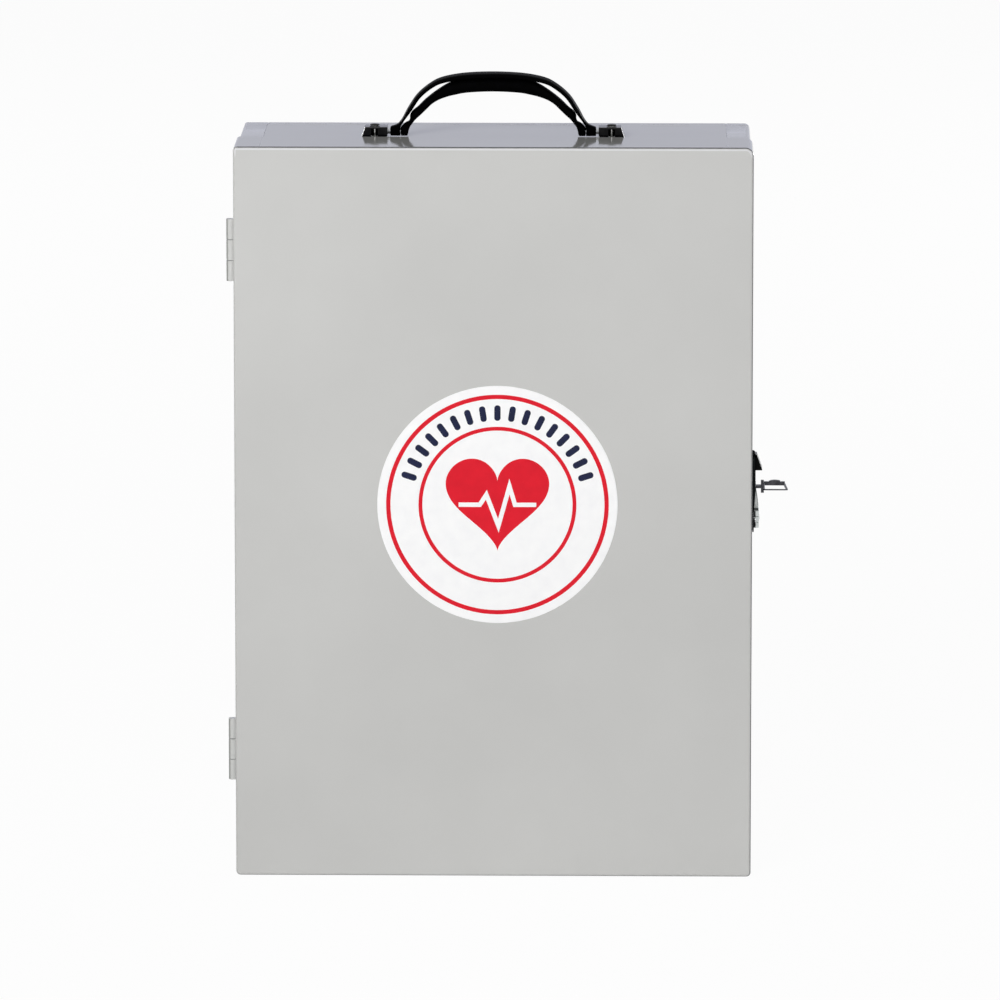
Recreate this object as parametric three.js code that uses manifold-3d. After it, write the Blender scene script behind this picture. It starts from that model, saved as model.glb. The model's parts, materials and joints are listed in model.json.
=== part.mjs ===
// A portable sheet-metal first aid box: a case with two shelves, a door that laps over the
// case rim on two outside hinges, a folding handle on top, and a spring latch with a hasp
// and key on the right-hand side. Millimetres, +Z up, the door faces -Y.
// The origin is on the underside, midway across the box and midway through its closed depth.

import * as THREE from "three";
import { mergeVertices } from "three/addons/utils/BufferGeometryUtils.js";
import Module from "manifold-3d";

const wasm = await Module();
wasm.setup();

// Box sizes
const BOX_WIDTH = 280;
const BOX_HEIGHT = 400;
const BOX_DEPTH = 115;
const DOOR_DEPTH = 44;
const SHEET = 0.8;
const LAP_CLEARANCE = 0.4;
const RIM_LAP = 10;
const DOOR_FLOOR_GAP = 0.3;
const CASE_BEND = 1.6;
const DOOR_BEND = 1.5;
const DOOR_CORNERS = { topLeft: 2, topRight: 4.4, bottomRight: 2.4, bottomLeft: 2.4 };
const FOLD_SEAM_INSET = 13;
const FOLD_SEAM_WIDTH = 0.5;
const FOLD_SEAM_DEPTH = 0.25;

// The gap kept between pieces that touch, and the thin gap behind the stuck-on label
const GAP = 0.3;
const GLUE_GAP = 0.05;

// Shelves, and the keyhole slots for hanging the case on a wall
const SHELF_COUNT = 2;
const SHELF_SETBACK = 6;
const SHELF_LIP = 14;
const SHELF_FLANGE = 10;
const KEYHOLE_SPACING = 180;
const KEYHOLE_DROP = 45;
const KEYHOLE_HEAD_RADIUS = 4.4;
const KEYHOLE_SLOT_RADIUS = 2.3;
const KEYHOLE_SLOT_RISE = 9;

// Hinges
const HINGE_LENGTH = 34;
const HINGE_END_INSET = 62;
const KNUCKLE_RADIUS = 2.5;
const KNUCKLE_INSET = 0.5;
const KNUCKLE_COUNT = 3;
const LEAF_THICKNESS = 1;
const LEAF_REACH = 12;
const LEAF_CLIP = 2;
const HINGE_PIN_RADIUS = 1.2;
const HINGE_PIN_CLEARANCE = 0.25;

// Label
const LABEL_RADIUS = 65;
const LABEL_THICKNESS = 0.25;
const LABEL_X = 2.3;
const LABEL_Z = 205.4;

// Handle: heights are measured up from the case top, and setbacks back from the door's seam
const HANDLE_X = -1;
const HANDLE_SETBACK = 10.5;
const HANDLE_HALF_SPAN = 56;
const HANDLE_RISE = 35.3;
const HANDLE_HALF_WIDTH = 6.5;
const HANDLE_NECK_HALF_WIDTH = 2.6;
const HANDLE_NECK_SLOPE = 1.6;
const HANDLE_EDGE_ROUND = 0.6;
const PIVOT_HEIGHT = 3;
const PIVOT_PIN_RADIUS = 1.5;
const PIVOT_PIN_CLEARANCE = 0.3;
const PIVOT_PIN_IN_HANDLE = 9.1;
const PIVOT_PIN_IN_FOOT = 4;
const FOOT_GAP = 1.3;
const FOOT_LENGTH = 14.2;
const FOOT_HALF_WIDTH = 6.5;
const FOOT_HEIGHT = 5.9;
const FOOT_SLANT = 1.9;
const FOOT_EDGE_ROUND = 0.8;
const FOOT_NOTCH_ROOF = 1;
const FOOT_RIVET_INSET = 3;
const FOOT_RIVET_RADIUS = 1.5;
const FOOT_RIVET_HEAD_RADIUS = 2.9;
const FOOT_RIVET_HEAD_HEIGHT = 1;
const WASHER_RADIUS = 4.5;
const WASHER_THICKNESS = 0.8;

// Lock: its faces stand out along +X, and it reaches above and below the key's axis
const LOCK_SETBACK = 12;
const KEY_Z = 206.5;
const LOCK_HALF_WIDTH = 11;
const LOCK_RISE = 18.3;
const LOCK_DROP = 10.5;
const LOCK_FACE_HEIGHT = 3.4;
const LOCK_BULGE = 1.6;
const LOCK_EDGE_ROUND = 0.6;
const LOCK_FLANGE = 5.7;
const LOCK_FLANGE_THICKNESS = 0.9;
const LOCK_FLANGE_CORNER = 2.5;
const LOCK_FLANGE_INSET = 1;
const LOCK_RIVET_INSET = 6;
const LOCK_RIVET_RADIUS = 1.2;
const LOCK_RIVET_HEAD_RADIUS = 2.2;
const SMALL_RIVET_HEAD_HEIGHT = 0.9;
const SMALL_RIVET_TAIL_HEIGHT = 0.8;
const PLUG_RADIUS = 3.6;
const PLUG_LENGTH = 14.8;
const PLUG_PROUD = 0.2;
const PLUG_TAIL = 1;
const HOUSING_WALL = 1.2;
const CAM_REACH = 14;
const CAM_HALF_WIDTH = 2.6;
const CAM_THICKNESS = 1.5;
const CAM_SCREW_RADIUS = 0.9;
const CAM_SCREW_DEPTH = 1.9;
const CAM_SCREW_HEAD_RADIUS = 2.2;
const CAM_SCREW_HEAD_HEIGHT = 1.3;
const CAM_SCREW_SLOT = 0.6;
const SLIDE_TRAVEL = 3;
const SLIDE_PLATE_THICKNESS = 1;
const SLIDE_WINDOW_CLEARANCE = 0.4;
const BUTTON_PROUD = 3.3;
const BUTTON_HEIGHT = 8.7;
const BUTTON_HALF_WIDTH = 5;
const BUTTON_EDGE = 0.8;
const STEM_HALF_WIDTH = 2.8;
const STEM_HEIGHT = 2.7;
const STEM_INSET = 0.6;
const FINGER_OFFSET = 2.5;
const FINGER_WIDTH = 4;
const FINGER_REACH = 4;
const SPRING_WIRE_RADIUS = 0.2;
const SPRING_TURNS = 9;
const SPRING_SEAT_RISE = 2;
const SPRING_SEAT_THICKNESS = 1;

// Hasp
const HASP_HEIGHT = 9.2;
const HASP_DOME_HEIGHT = 4.4;
const HASP_STANDOFF = 0.4;
const HASP_REAR_INSET = 1.5;
const HASP_EDGE_ROUND = 0.8;
const HASP_PIN_BACKSET = 4.1;
const HASP_PIN_OFFSET = 2.3;
const HASP_PIN_RADIUS = 0.8;
const HASP_PIN_CLEARANCE = 0.25;
const HASP_KNUCKLE_RADIUS = 1.7;
const HASP_KNUCKLE_SPACE = 0.6;
const HASP_PLATE_MARGIN = 1.5;
const HASP_PLATE_CORNER = 4.2;
const HASP_RIVET_RADIUS = 1.1;
const HASP_RIVET_HEAD_RADIUS = 1.9;
const HASP_RIVET_SPACING = 7.5;

// Key
const KEY_THICKNESS = 1.5;
const KEY_BLADE_WIDTH = 4.2;
const KEY_COLLAR_RADIUS = 3.6;
const KEY_COLLAR_THICKNESS = 1.6;
const KEY_NOTCH_PITCH = 2.4;
const KEY_NOTCH_HALF_WIDTH = 0.6;
const KEY_NOTCH_DEPTHS = [1, 1.3, 1];
const KEY_BOW_SETBACK = 1;
const KEY_BOW_LENGTH = 13.7;
const KEY_BOW_HALF_WIDTH = 11.5;
const KEY_BOW_SLANT = 1.5;
const KEY_BOW_BAR = 1.1;
const KEY_BOW_CORNER = 1.4;
const KEY_BOW_THICKNESS = 0.6;
const KEY_SPINE_LENGTH = 12.2;
const KEY_SPINE_WIDTH = 3;
const KEY_SPINE_HEIGHT = 2;
const KEY_SPINE_EDGE_ROUND = 0.3;
const KEY_HUMP_AT = 6.7;
const KEY_HUMP_REACH = 3.3;
const KEY_HUMP_HEIGHT = 0.9;

// Places worked out from the sizes above
const FRONT_Y = -BOX_DEPTH / 2;
const BACK_Y = BOX_DEPTH / 2;
const SEAM_Y = FRONT_Y + DOOR_DEPTH;
const RIM_Y = SEAM_Y - RIM_LAP;
const DOOR_SIDE_X = BOX_WIDTH / 2;
const CASE_SIDE_X = DOOR_SIDE_X - SHEET - LAP_CLEARANCE;
const CASE_TOP_Z = BOX_HEIGHT - SHEET - LAP_CLEARANCE;
const RIM_BOTTOM_Z = DOOR_FLOOR_GAP + SHEET + LAP_CLEARANCE;
const CASE_INNER_X = CASE_SIDE_X - SHEET;
const CASE_BACK_BEND = 0.8 * CASE_BEND;
const HINGE_X = -(DOOR_SIDE_X + GAP + KNUCKLE_INSET + KNUCKLE_RADIUS);
const HANDLE_Y = SEAM_Y + HANDLE_SETBACK;
const PIVOT_Z = CASE_TOP_Z + PIVOT_HEIGHT;
const FOOT_START = HANDLE_HALF_SPAN + FOOT_GAP;
const FOOT_RIVET_AT = FOOT_START + PIVOT_PIN_IN_FOOT + FOOT_RIVET_INSET;
const FOOT_BORE_RADIUS = FOOT_RIVET_RADIUS + GAP;
const WASHER_TOP_Z = CASE_TOP_Z - SHEET - GAP;
const LOCK_Y = SEAM_Y + LOCK_SETBACK;
const LOCK_FRONT_Y = LOCK_Y - LOCK_HALF_WIDTH;
const LOCK_REAR_Y = LOCK_Y + LOCK_HALF_WIDTH;
const LOCK_BACK_X = CASE_SIDE_X + GAP;
const LOCK_FACE_X = CASE_SIDE_X + LOCK_FACE_HEIGHT;
const LOCK_RIVET_Y = LOCK_REAR_Y + LOCK_FLANGE / 2;
const LOCK_TOP = KEY_Z + LOCK_RISE;
const LOCK_FOOT = KEY_Z - LOCK_DROP;
const HASP_TOP = LOCK_FOOT - GAP;
const HASP_BOTTOM = HASP_TOP - HASP_HEIGHT;
const LOCK_RIVET_HEIGHTS = { upper: LOCK_TOP - LOCK_RIVET_INSET, lower: HASP_BOTTOM + LOCK_RIVET_INSET };
const LOCK_FLANGE_Z = [HASP_BOTTOM + LOCK_FLANGE_INSET, LOCK_TOP - LOCK_FLANGE_INSET];
const BACK_PLATE_X = CASE_INNER_X - GAP - SHEET;
const PLUG_FACE_X = LOCK_FACE_X + PLUG_PROUD;
const PLUG_REAR_X = PLUG_FACE_X - PLUG_LENGTH;
const HOUSING_X = [PLUG_REAR_X + PLUG_TAIL, LOCK_FACE_X - SHEET - GAP];
const HOUSING_BORE_RADIUS = PLUG_RADIUS + GAP;
const HOUSING_RADIUS = HOUSING_BORE_RADIUS + HOUSING_WALL;
const HOUSING_HOLE_RADIUS = HOUSING_RADIUS + GAP;
const HASP_INNER_X = DOOR_SIDE_X + HASP_STANDOFF;
const HASP_REAR_Y = LOCK_REAR_Y - HASP_REAR_INSET;
const HASP_PIN_X = DOOR_SIDE_X + HASP_PIN_OFFSET;
const HASP_PIN_Y = SEAM_Y - HASP_PIN_BACKSET;
const HASP_FRONT_Y = HASP_PIN_Y + HASP_KNUCKLE_RADIUS + HASP_KNUCKLE_SPACE;
const HASP_PLATE_REAR_Y = HASP_PIN_Y - HASP_KNUCKLE_RADIUS - HASP_KNUCKLE_SPACE;

// The slide's window runs round the housing, and its spring stands in the space beside it
const SPRING_SPACE = LOCK_FACE_X - SHEET - LOCK_BACK_X;
const SPRING_COIL_RADIUS = SPRING_SPACE / 2 - GAP - SPRING_WIRE_RADIUS;
const SPRING_REACH = SPRING_COIL_RADIUS + SPRING_WIRE_RADIUS;
const SPRING_Y = LOCK_REAR_Y - SHEET - GAP - SPRING_REACH;
const SLIDE_PLATE_X = [LOCK_BACK_X, LOCK_BACK_X + SLIDE_PLATE_THICKNESS];
const SLIDE_REAR_Y = SPRING_Y - SPRING_REACH - GAP;
const SLIDE_WINDOW_HALF = HOUSING_RADIUS + SLIDE_WINDOW_CLEARANCE;
const SLIDE_SIDE_BAR = SLIDE_REAR_Y - LOCK_Y - SLIDE_WINDOW_HALF;
const SLIDE_WINDOW_Z = [KEY_Z - SLIDE_WINDOW_HALF - SLIDE_TRAVEL, KEY_Z + SLIDE_WINDOW_HALF];
const SPRING_SEAT_Z = SLIDE_WINDOW_Z[0] + SPRING_SEAT_RISE;
const BUTTON_BOTTOM = LOCK_TOP - BUTTON_HEIGHT;
const STEM_Y = [LOCK_Y - STEM_HALF_WIDTH, LOCK_Y + STEM_HALF_WIDTH];
const STEM_Z = [BUTTON_BOTTOM + STEM_INSET, BUTTON_BOTTOM + STEM_INSET + STEM_HEIGHT];
const FINGER_Y = [LOCK_Y + FINGER_OFFSET, LOCK_Y + FINGER_OFFSET + FINGER_WIDTH];

// The keyway and the cam behind the plug
const KEYWAY_HALF_WIDTH = KEY_BLADE_WIDTH / 2 + GAP;
const KEYWAY_HALF_HEIGHT = KEY_THICKNESS / 2 + GAP;
const KEYWAY_END_X = PLUG_REAR_X + CAM_SCREW_DEPTH + 3 * GAP;
const CAM_X = [PLUG_REAR_X - GAP - CAM_THICKNESS, PLUG_REAR_X - GAP];

// Finishes
const PAINT = { color: 0xc9c9c7, roughness: 0.35, metalness: 0.0 };
const INNER_PAINT = { color: 0xc4c4c2, roughness: 0.45, metalness: 0.0 };
const BLACK = { color: 0x0c0c0e, roughness: 0.35, metalness: 0.0 };
const STEEL = { color: 0xb9bbbd, roughness: 0.3, metalness: 1.0 };
const DARK_STEEL = { color: 0x5b5c60, roughness: 0.4, metalness: 1.0 };
const WHITE_VINYL = { color: 0xf8f8f8, roughness: 0.4, metalness: 0.0 };

// Solids: conversion, joining and cutting

function toSolid(geometry) {
  const bare = geometry.clone();
  bare.deleteAttribute("normal");
  bare.deleteAttribute("uv");
  const merged = mergeVertices(bare, 1e-4);
  const mesh = new wasm.Mesh({
    numProp: 3,
    vertProperties: new Float32Array(merged.attributes.position.array),
    triVerts: new Uint32Array(merged.index.array),
  });
  return new wasm.Manifold(mesh);
}

function toGeometry(solid) {
  const mesh = solid.getMesh();
  const geometry = new THREE.BufferGeometry();
  geometry.setAttribute("position", new THREE.BufferAttribute(new Float32Array(mesh.vertProperties), 3));
  geometry.setIndex(new THREE.BufferAttribute(new Uint32Array(mesh.triVerts), 1));
  geometry.computeVertexNormals();
  return geometry;
}

function join(first, ...others) {
  return toGeometry(others.reduce((sum, next) => sum.add(toSolid(next)), toSolid(first)));
}

function cut(body, ...tools) {
  return toGeometry(tools.reduce((rest, next) => rest.subtract(toSolid(next)), toSolid(body)));
}

function common(first, second) {
  return toGeometry(toSolid(first).intersect(toSolid(second)));
}

// Basic shapes, each given by its limits along the three axes

function block([x0, x1], [y0, y1], [z0, z1]) {
  const geometry = new THREE.BoxGeometry(x1 - x0, y1 - y0, z1 - z0);
  return geometry.translate((x0 + x1) / 2, (y0 + y1) / 2, (z0 + z1) / 2);
}

// An outline carried along an axis. Along x it holds (y, z), along y (x, z) and along z (x, y).
// A round above 0 rounds both end edges by that radius, which is less than any outer corner's.
function extrude(axis, outline, [from, to], round = 0, arcSteps = 3) {
  const geometry = new THREE.ExtrudeGeometry(outline, {
    depth: to - from - 2 * round,
    bevelEnabled: round > 0,
    bevelThickness: round,
    bevelSize: round,
    bevelOffset: -round,
    bevelSegments: 2,
    curveSegments: arcSteps,
  });
  geometry.translate(0, 0, round);
  const turn = new THREE.Matrix4();
  if (axis === "x") {
    turn.set(0, 0, 1, from, 1, 0, 0, 0, 0, 1, 0, 0, 0, 0, 0, 1);
  } else if (axis === "y") {
    turn.set(1, 0, 0, 0, 0, 0, -1, to, 0, 1, 0, 0, 0, 0, 0, 1);
  } else {
    turn.makeTranslation(0, 0, from);
  }
  return geometry.applyMatrix4(turn);
}

// A round bar along an axis, centred on the point (a, b) of the plane across that axis.
function rod(axis, radius, [from, to], [a, b], sides = 24) {
  const geometry = new THREE.CylinderGeometry(radius, radius, to - from, sides);
  const middle = (from + to) / 2;
  if (axis === "x") {
    return geometry.rotateZ(-Math.PI / 2).translate(middle, a, b);
  }
  if (axis === "y") {
    return geometry.translate(a, middle, b);
  }
  return geometry.rotateX(Math.PI / 2).translate(a, b, middle);
}

function outlineOf(points) {
  return new THREE.Shape(points.map(([u, v]) => new THREE.Vector2(u, v)));
}

// A polygon whose corners are cut back by a reach and rounded over.
function softOutline(points, reach) {
  const corners = points.map(([u, v]) => new THREE.Vector2(u, v));
  const shape = new THREE.Shape();
  corners.forEach((corner, index) => {
    const towards = (other) => other.clone().sub(corner).setLength(reach).add(corner);
    const start = towards(corners.at(index - 1));
    const end = towards(corners[(index + 1) % corners.length]);
    if (index === 0) {
      shape.moveTo(start.x, start.y);
    } else {
      shape.lineTo(start.x, start.y);
    }
    shape.quadraticCurveTo(corner.x, corner.y, end.x, end.y);
  });
  return shape;
}

function roundedOutline([u0, u1], [v0, v1], { topLeft, topRight, bottomRight, bottomLeft }) {
  const shape = new THREE.Shape();
  shape.absarc(u1 - topRight, v1 - topRight, topRight, 0, Math.PI / 2);
  shape.absarc(u0 + topLeft, v1 - topLeft, topLeft, Math.PI / 2, Math.PI);
  shape.absarc(u0 + bottomLeft, v0 + bottomLeft, bottomLeft, Math.PI, 1.5 * Math.PI);
  shape.absarc(u1 - bottomRight, v0 + bottomRight, bottomRight, 1.5 * Math.PI, 2 * Math.PI);
  return shape;
}

function mapCorners(corners, change) {
  return Object.fromEntries(Object.entries(corners).map(([corner, radius]) => [corner, change(radius)]));
}

function span(a, b) {
  return [Math.min(a, b), Math.max(a, b)];
}

function widen([low, high], margin) {
  return [low - margin, high + margin];
}

function sameCorners(radius) {
  return { topLeft: radius, topRight: radius, bottomRight: radius, bottomLeft: radius };
}

// A rivet along an axis: a flat upset tail inside, the shank, and a domed head outside.
// It grips what lies from the inner to the outer face.
function rivet(axis, [a, b], shankRadius, headRadius, [innerFace, outerFace], tailHeight, headHeight) {
  const tailRadius = 0.85 * headRadius;
  const grip = tailHeight + outerFace - innerFace;
  const profile = new THREE.Path();
  profile.moveTo(0, 0);
  profile.lineTo(tailRadius, 0);
  profile.lineTo(tailRadius, tailHeight);
  profile.lineTo(shankRadius, tailHeight);
  profile.lineTo(shankRadius, grip);
  profile.lineTo(headRadius, grip);
  profile.absellipse(0, grip, headRadius, headHeight, 0, Math.PI / 2, false);
  const geometry = new THREE.LatheGeometry(profile.getPoints(3), 14);
  geometry.rotateX(Math.PI / 2);
  geometry.translate(0, 0, innerFace - tailHeight);
  return axis === "x"
    ? geometry.applyMatrix4(new THREE.Matrix4().set(0, 0, 1, 0, 1, 0, 0, a, 0, 1, 0, b, 0, 0, 0, 1))
    : geometry.translate(a, b, 0);
}

// Scene graph

const firstAidBox = new THREE.Group();

function place(name, geometry, finish) {
  const piece = new THREE.Mesh(geometry, new THREE.MeshStandardMaterial(finish));
  piece.name = name;
  firstAidBox.add(piece);
  return piece;
}

// Case: one folded and welded sheet shell with a rim that the door laps over.
// The underside of the rim is joggled up, so the case alone stands on the floor.

function caseBody() {
  const joggleY = SEAM_Y + LAP_CLEARANCE;
  const corners = mapCorners(DOOR_CORNERS, (radius) => Math.max(CASE_BEND, radius - SHEET - LAP_CLEARANCE));
  const innerCorners = mapCorners(corners, (radius) => radius - SHEET);
  const outside = (bottom, ends, bend) =>
    extrude("y", roundedOutline([-CASE_SIDE_X, CASE_SIDE_X], [bottom, CASE_TOP_Z], corners), ends, bend);
  const inside = (bottom, ends, bend) =>
    extrude(
      "y",
      roundedOutline([-CASE_INNER_X, CASE_INNER_X], [bottom + SHEET, CASE_TOP_Z - SHEET], innerCorners),
      ends,
      bend,
    );
  const behind = (y) => block([-BOX_WIDTH, BOX_WIDTH], [y, BOX_DEPTH], [-1, BOX_HEIGHT]);
  const outer = join(
    common(outside(0, [RIM_Y, BACK_Y], CASE_BACK_BEND), behind(joggleY)),
    outside(RIM_BOTTOM_Z, [RIM_Y, joggleY + SHEET], 0),
  );
  const hollow = join(
    common(inside(0, [RIM_Y, BACK_Y - SHEET], CASE_BACK_BEND - SHEET), behind(joggleY + SHEET)),
    inside(RIM_BOTTOM_Z, [RIM_Y - SHEET, joggleY + 2 * SHEET], 0),
  );
  return cut(outer, hollow, ...foldSeams(CASE_SIDE_X, CASE_TOP_Z), ...keyholes(), ...caseHoles());
}

// Shallow lap seams on the top, where the folded edges of the side walls end.
function foldSeams(sideX, topZ) {
  return [-1, 1].map((side) => {
    const middle = side * (sideX - FOLD_SEAM_INSET);
    return block(
      [middle - FOLD_SEAM_WIDTH / 2, middle + FOLD_SEAM_WIDTH / 2],
      [-BOX_DEPTH, BOX_DEPTH],
      [topZ - FOLD_SEAM_DEPTH, topZ + SHEET],
    );
  });
}

function keyholes() {
  const z = CASE_TOP_Z - KEYHOLE_DROP;
  const through = [BACK_Y - 3 * SHEET, BACK_Y + SHEET];
  return [-1, 1].map((side) => {
    const x = (side * KEYHOLE_SPACING) / 2;
    return join(
      rod("y", KEYHOLE_HEAD_RADIUS, through, [x, z]),
      block([x - KEYHOLE_SLOT_RADIUS, x + KEYHOLE_SLOT_RADIUS], through, [z, z + KEYHOLE_SLOT_RISE]),
      rod("y", KEYHOLE_SLOT_RADIUS, through, [x, z + KEYHOLE_SLOT_RISE]),
    );
  });
}

function caseHoles() {
  const throughTop = [CASE_TOP_Z - 2 * SHEET, CASE_TOP_Z + SHEET];
  const throughSide = [CASE_INNER_X - SHEET, CASE_SIDE_X + SHEET];
  return [
    ...[-1, 1].map((side) => {
      const centre = [HANDLE_X + side * FOOT_RIVET_AT, HANDLE_Y];
      return rod("z", FOOT_BORE_RADIUS, throughTop, centre);
    }),
    ...lockRivetHoles(throughSide),
    rod("x", HOUSING_HOLE_RADIUS, throughSide, [LOCK_Y, KEY_Z]),
  ];
}

place("case_body", caseBody(), PAINT);

// Shelves: a flat tray with a turned-up front lip and turned-down side flanges.

function shelf(z) {
  const side = CASE_INNER_X - GAP;
  const frontY = SEAM_Y + SHELF_SETBACK;
  const rearY = BACK_Y - SHEET - GAP;
  const tray = outlineOf([
    [frontY, z],
    [rearY, z],
    [rearY, z + SHEET],
    [frontY + SHEET, z + SHEET],
    [frontY + SHEET, z + SHELF_LIP],
    [frontY, z + SHELF_LIP],
  ]);
  const flanges = [-1, 1].map((end) => {
    const edges = [end * side, end * (side - SHEET)].sort((a, b) => a - b);
    return block(edges, [frontY + SHEET, rearY], [z - SHELF_FLANGE, z + SHEET / 2]);
  });
  return join(extrude("x", tray, [-side, side]), ...flanges);
}

for (let level = 1; level <= SHELF_COUNT; level += 1) {
  place(`shelf_${level}`, shelf((CASE_TOP_Z * level) / (SHELF_COUNT + 1)), INNER_PAINT);
}

// Door: a shallow folded pan with its edge bent round, and the round label on its front.

function doorShell() {
  const outer = extrude(
    "y",
    roundedOutline([-DOOR_SIDE_X, DOOR_SIDE_X], [DOOR_FLOOR_GAP, BOX_HEIGHT], DOOR_CORNERS),
    [FRONT_Y, SEAM_Y + 2 * DOOR_BEND],
    DOOR_BEND,
  );
  const innerCorners = mapCorners(DOOR_CORNERS, (radius) => radius - SHEET);
  const innerSide = DOOR_SIDE_X - SHEET;
  const hollow = extrude(
    "y",
    roundedOutline([-innerSide, innerSide], [DOOR_FLOOR_GAP + SHEET, BOX_HEIGHT - SHEET], innerCorners),
    [FRONT_Y + SHEET, SEAM_Y + 4 * DOOR_BEND],
    DOOR_BEND - SHEET,
  );
  const behindSeam = block([-BOX_WIDTH, BOX_WIDTH], [SEAM_Y, BOX_DEPTH], [-BOX_HEIGHT, 2 * BOX_HEIGHT]);
  const rivetHoles = haspRivetHoles([innerSide - SHEET, DOOR_SIDE_X + SHEET]);
  return cut(outer, hollow, behindSeam, ...foldSeams(CASE_SIDE_X, BOX_HEIGHT), ...rivetHoles);
}

function haspRivetHoles(through) {
  return haspRivetPlaces().map((centre) => rod("x", HASP_RIVET_RADIUS + GAP, through, centre, 16));
}

function haspRivetPlaces() {
  const middleZ = HASP_BOTTOM + HASP_HEIGHT / 2;
  const rearY = RIM_Y - HASP_RIVET_HEAD_RADIUS - 2 * GAP;
  return [rearY - HASP_RIVET_SPACING, rearY].map((y) => [y, middleZ]);
}

place("door_shell", doorShell(), PAINT);

const labelBack = FRONT_Y - GLUE_GAP;
place(
  "door_label",
  rod("y", LABEL_RADIUS, [labelBack - LABEL_THICKNESS, labelBack], [LABEL_X, LABEL_Z], 72),
  WHITE_VINYL,
);

// Hinges: a case leaf with the end knuckles, a door leaf with the middle one, and a pin.

function knuckleSpans(middleZ) {
  const length = (HINGE_LENGTH - (KNUCKLE_COUNT - 1) * GAP) / KNUCKLE_COUNT;
  return Array.from({ length: KNUCKLE_COUNT }, (_, index) => {
    const low = hingeEnds(middleZ)[0] + index * (length + GAP);
    return [low, low + length];
  });
}

function knuckles(spans) {
  return spans.map((height) => rod("z", KNUCKLE_RADIUS, height, [HINGE_X, SEAM_Y]));
}

function hingeEnds(middleZ) {
  return [middleZ - HINGE_LENGTH / 2, middleZ + HINGE_LENGTH / 2];
}

function hingeBore(middleZ) {
  const radius = HINGE_PIN_RADIUS + HINGE_PIN_CLEARANCE;
  return rod("z", radius, widen(hingeEnds(middleZ), 1), [HINGE_X, SEAM_Y]);
}

// A leaf's outline with its free corners clipped, from the edge beside the knuckles outwards.
function leafOutline(nearY, farY, middleZ) {
  const [low, high] = hingeEnds(middleZ);
  const clippedY = farY + Math.sign(nearY - farY) * LEAF_CLIP;
  return outlineOf([
    [nearY, low],
    [nearY, high],
    [clippedY, high],
    [farY, high - LEAF_CLIP],
    [farY, low + LEAF_CLIP],
    [clippedY, low],
  ]);
}

function caseLeaf(middleZ) {
  const innerX = -(CASE_SIDE_X + GAP);
  const outerX = innerX - LEAF_THICKNESS;
  const tabX = [HINGE_X + KNUCKLE_RADIUS - LEAF_THICKNESS, innerX];
  const nearY = SEAM_Y + KNUCKLE_RADIUS + GAP;
  const spans = knuckleSpans(middleZ).filter((_, index) => index % 2 === 0);
  const plate = extrude("x", leafOutline(nearY, nearY + LEAF_REACH, middleZ), [outerX, innerX]);
  const tabs = spans.map((height) => block(tabX, [SEAM_Y + GAP, nearY + LEAF_THICKNESS], height));
  return cut(join(plate, ...tabs, ...knuckles(spans)), hingeBore(middleZ));
}

function doorLeaf(middleZ) {
  const innerX = -(DOOR_SIDE_X + GAP);
  const outerX = innerX - LEAF_THICKNESS;
  const nearY = SEAM_Y - KNUCKLE_RADIUS - GAP;
  const spans = knuckleSpans(middleZ).filter((_, index) => index % 2 === 1);
  const plate = extrude("x", leafOutline(nearY, nearY - LEAF_REACH, middleZ), [outerX, innerX]);
  const tabs = spans.map((height) => block([outerX, innerX], [nearY - LEAF_THICKNESS, SEAM_Y], height));
  return cut(join(plate, ...tabs, ...knuckles(spans)), hingeBore(middleZ));
}

const hingeHeights = { lower: HINGE_END_INSET, upper: BOX_HEIGHT - HINGE_END_INSET };
for (const [name, middleZ] of Object.entries(hingeHeights)) {
  const pin = rod("z", HINGE_PIN_RADIUS, hingeEnds(middleZ), [HINGE_X, SEAM_Y]);
  place(`${name}_hinge_case_leaf`, caseLeaf(middleZ), PAINT);
  place(`${name}_hinge_door_leaf`, doorLeaf(middleZ), PAINT);
  place(`${name}_hinge_pin`, pin, STEEL);
}

// Handle: a padded lower grip under a thin carrying strap, joined at their ends by the
// pivot pins. Each curve lists half of an edge from the middle outwards, in shares of the
// half span and of the rise.

const STRAP_OUTER = [[0, 1], [0.281, 0.98], [0.491, 0.918], [0.614, 0.822], [0.737, 0.657],
  [0.825, 0.453], [0.879, 0.292], [0.923, 0.204], [0.965, 0.173]];
const STRAP_INNER = [[0, 0.926], [0.275, 0.907], [0.479, 0.847], [0.589, 0.759], [0.704, 0.606],
  [0.786, 0.414], [0.854, 0.266], [0.882, 0.195], [0.905, 0.15]];
const GRIP_TOP = [[0, 0.912], [0.246, 0.893], [0.368, 0.856], [0.456, 0.788], [0.561, 0.688],
  [0.658, 0.575], [0.728, 0.47], [0.761, 0.414]];
const GRIP_NOTCH = [[0.781, 0.402], [0.805, 0.34], [0.8, 0.317], [0.811, 0.261], [0.834, 0.226],
  [0.858, 0.224], [0.882, 0.176], [0.898, 0.142], [0.898, 0.013]];
const GRIP_BOTTOM = [[0, 0.717], [0.246, 0.697], [0.491, 0.601], [0.588, 0.516], [0.684, 0.368],
  [0.76, 0.252], [0.804, 0.159], [0.821, 0.085]];
const GRIP_TOE = [[0.828, 0.013]];
const STRAP_TOE = [[1, 0.159], [1, 0.011], [0.905, 0.011]];

function handlePoint([across, up], side = 1) {
  return new THREE.Vector2(HANDLE_X + side * across * HANDLE_HALF_SPAN, CASE_TOP_Z + up * HANDLE_RISE);
}

function smooth(points, side) {
  return new THREE.SplineCurve(points.map((point) => handlePoint(point, side))).getPoints(12);
}

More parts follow.
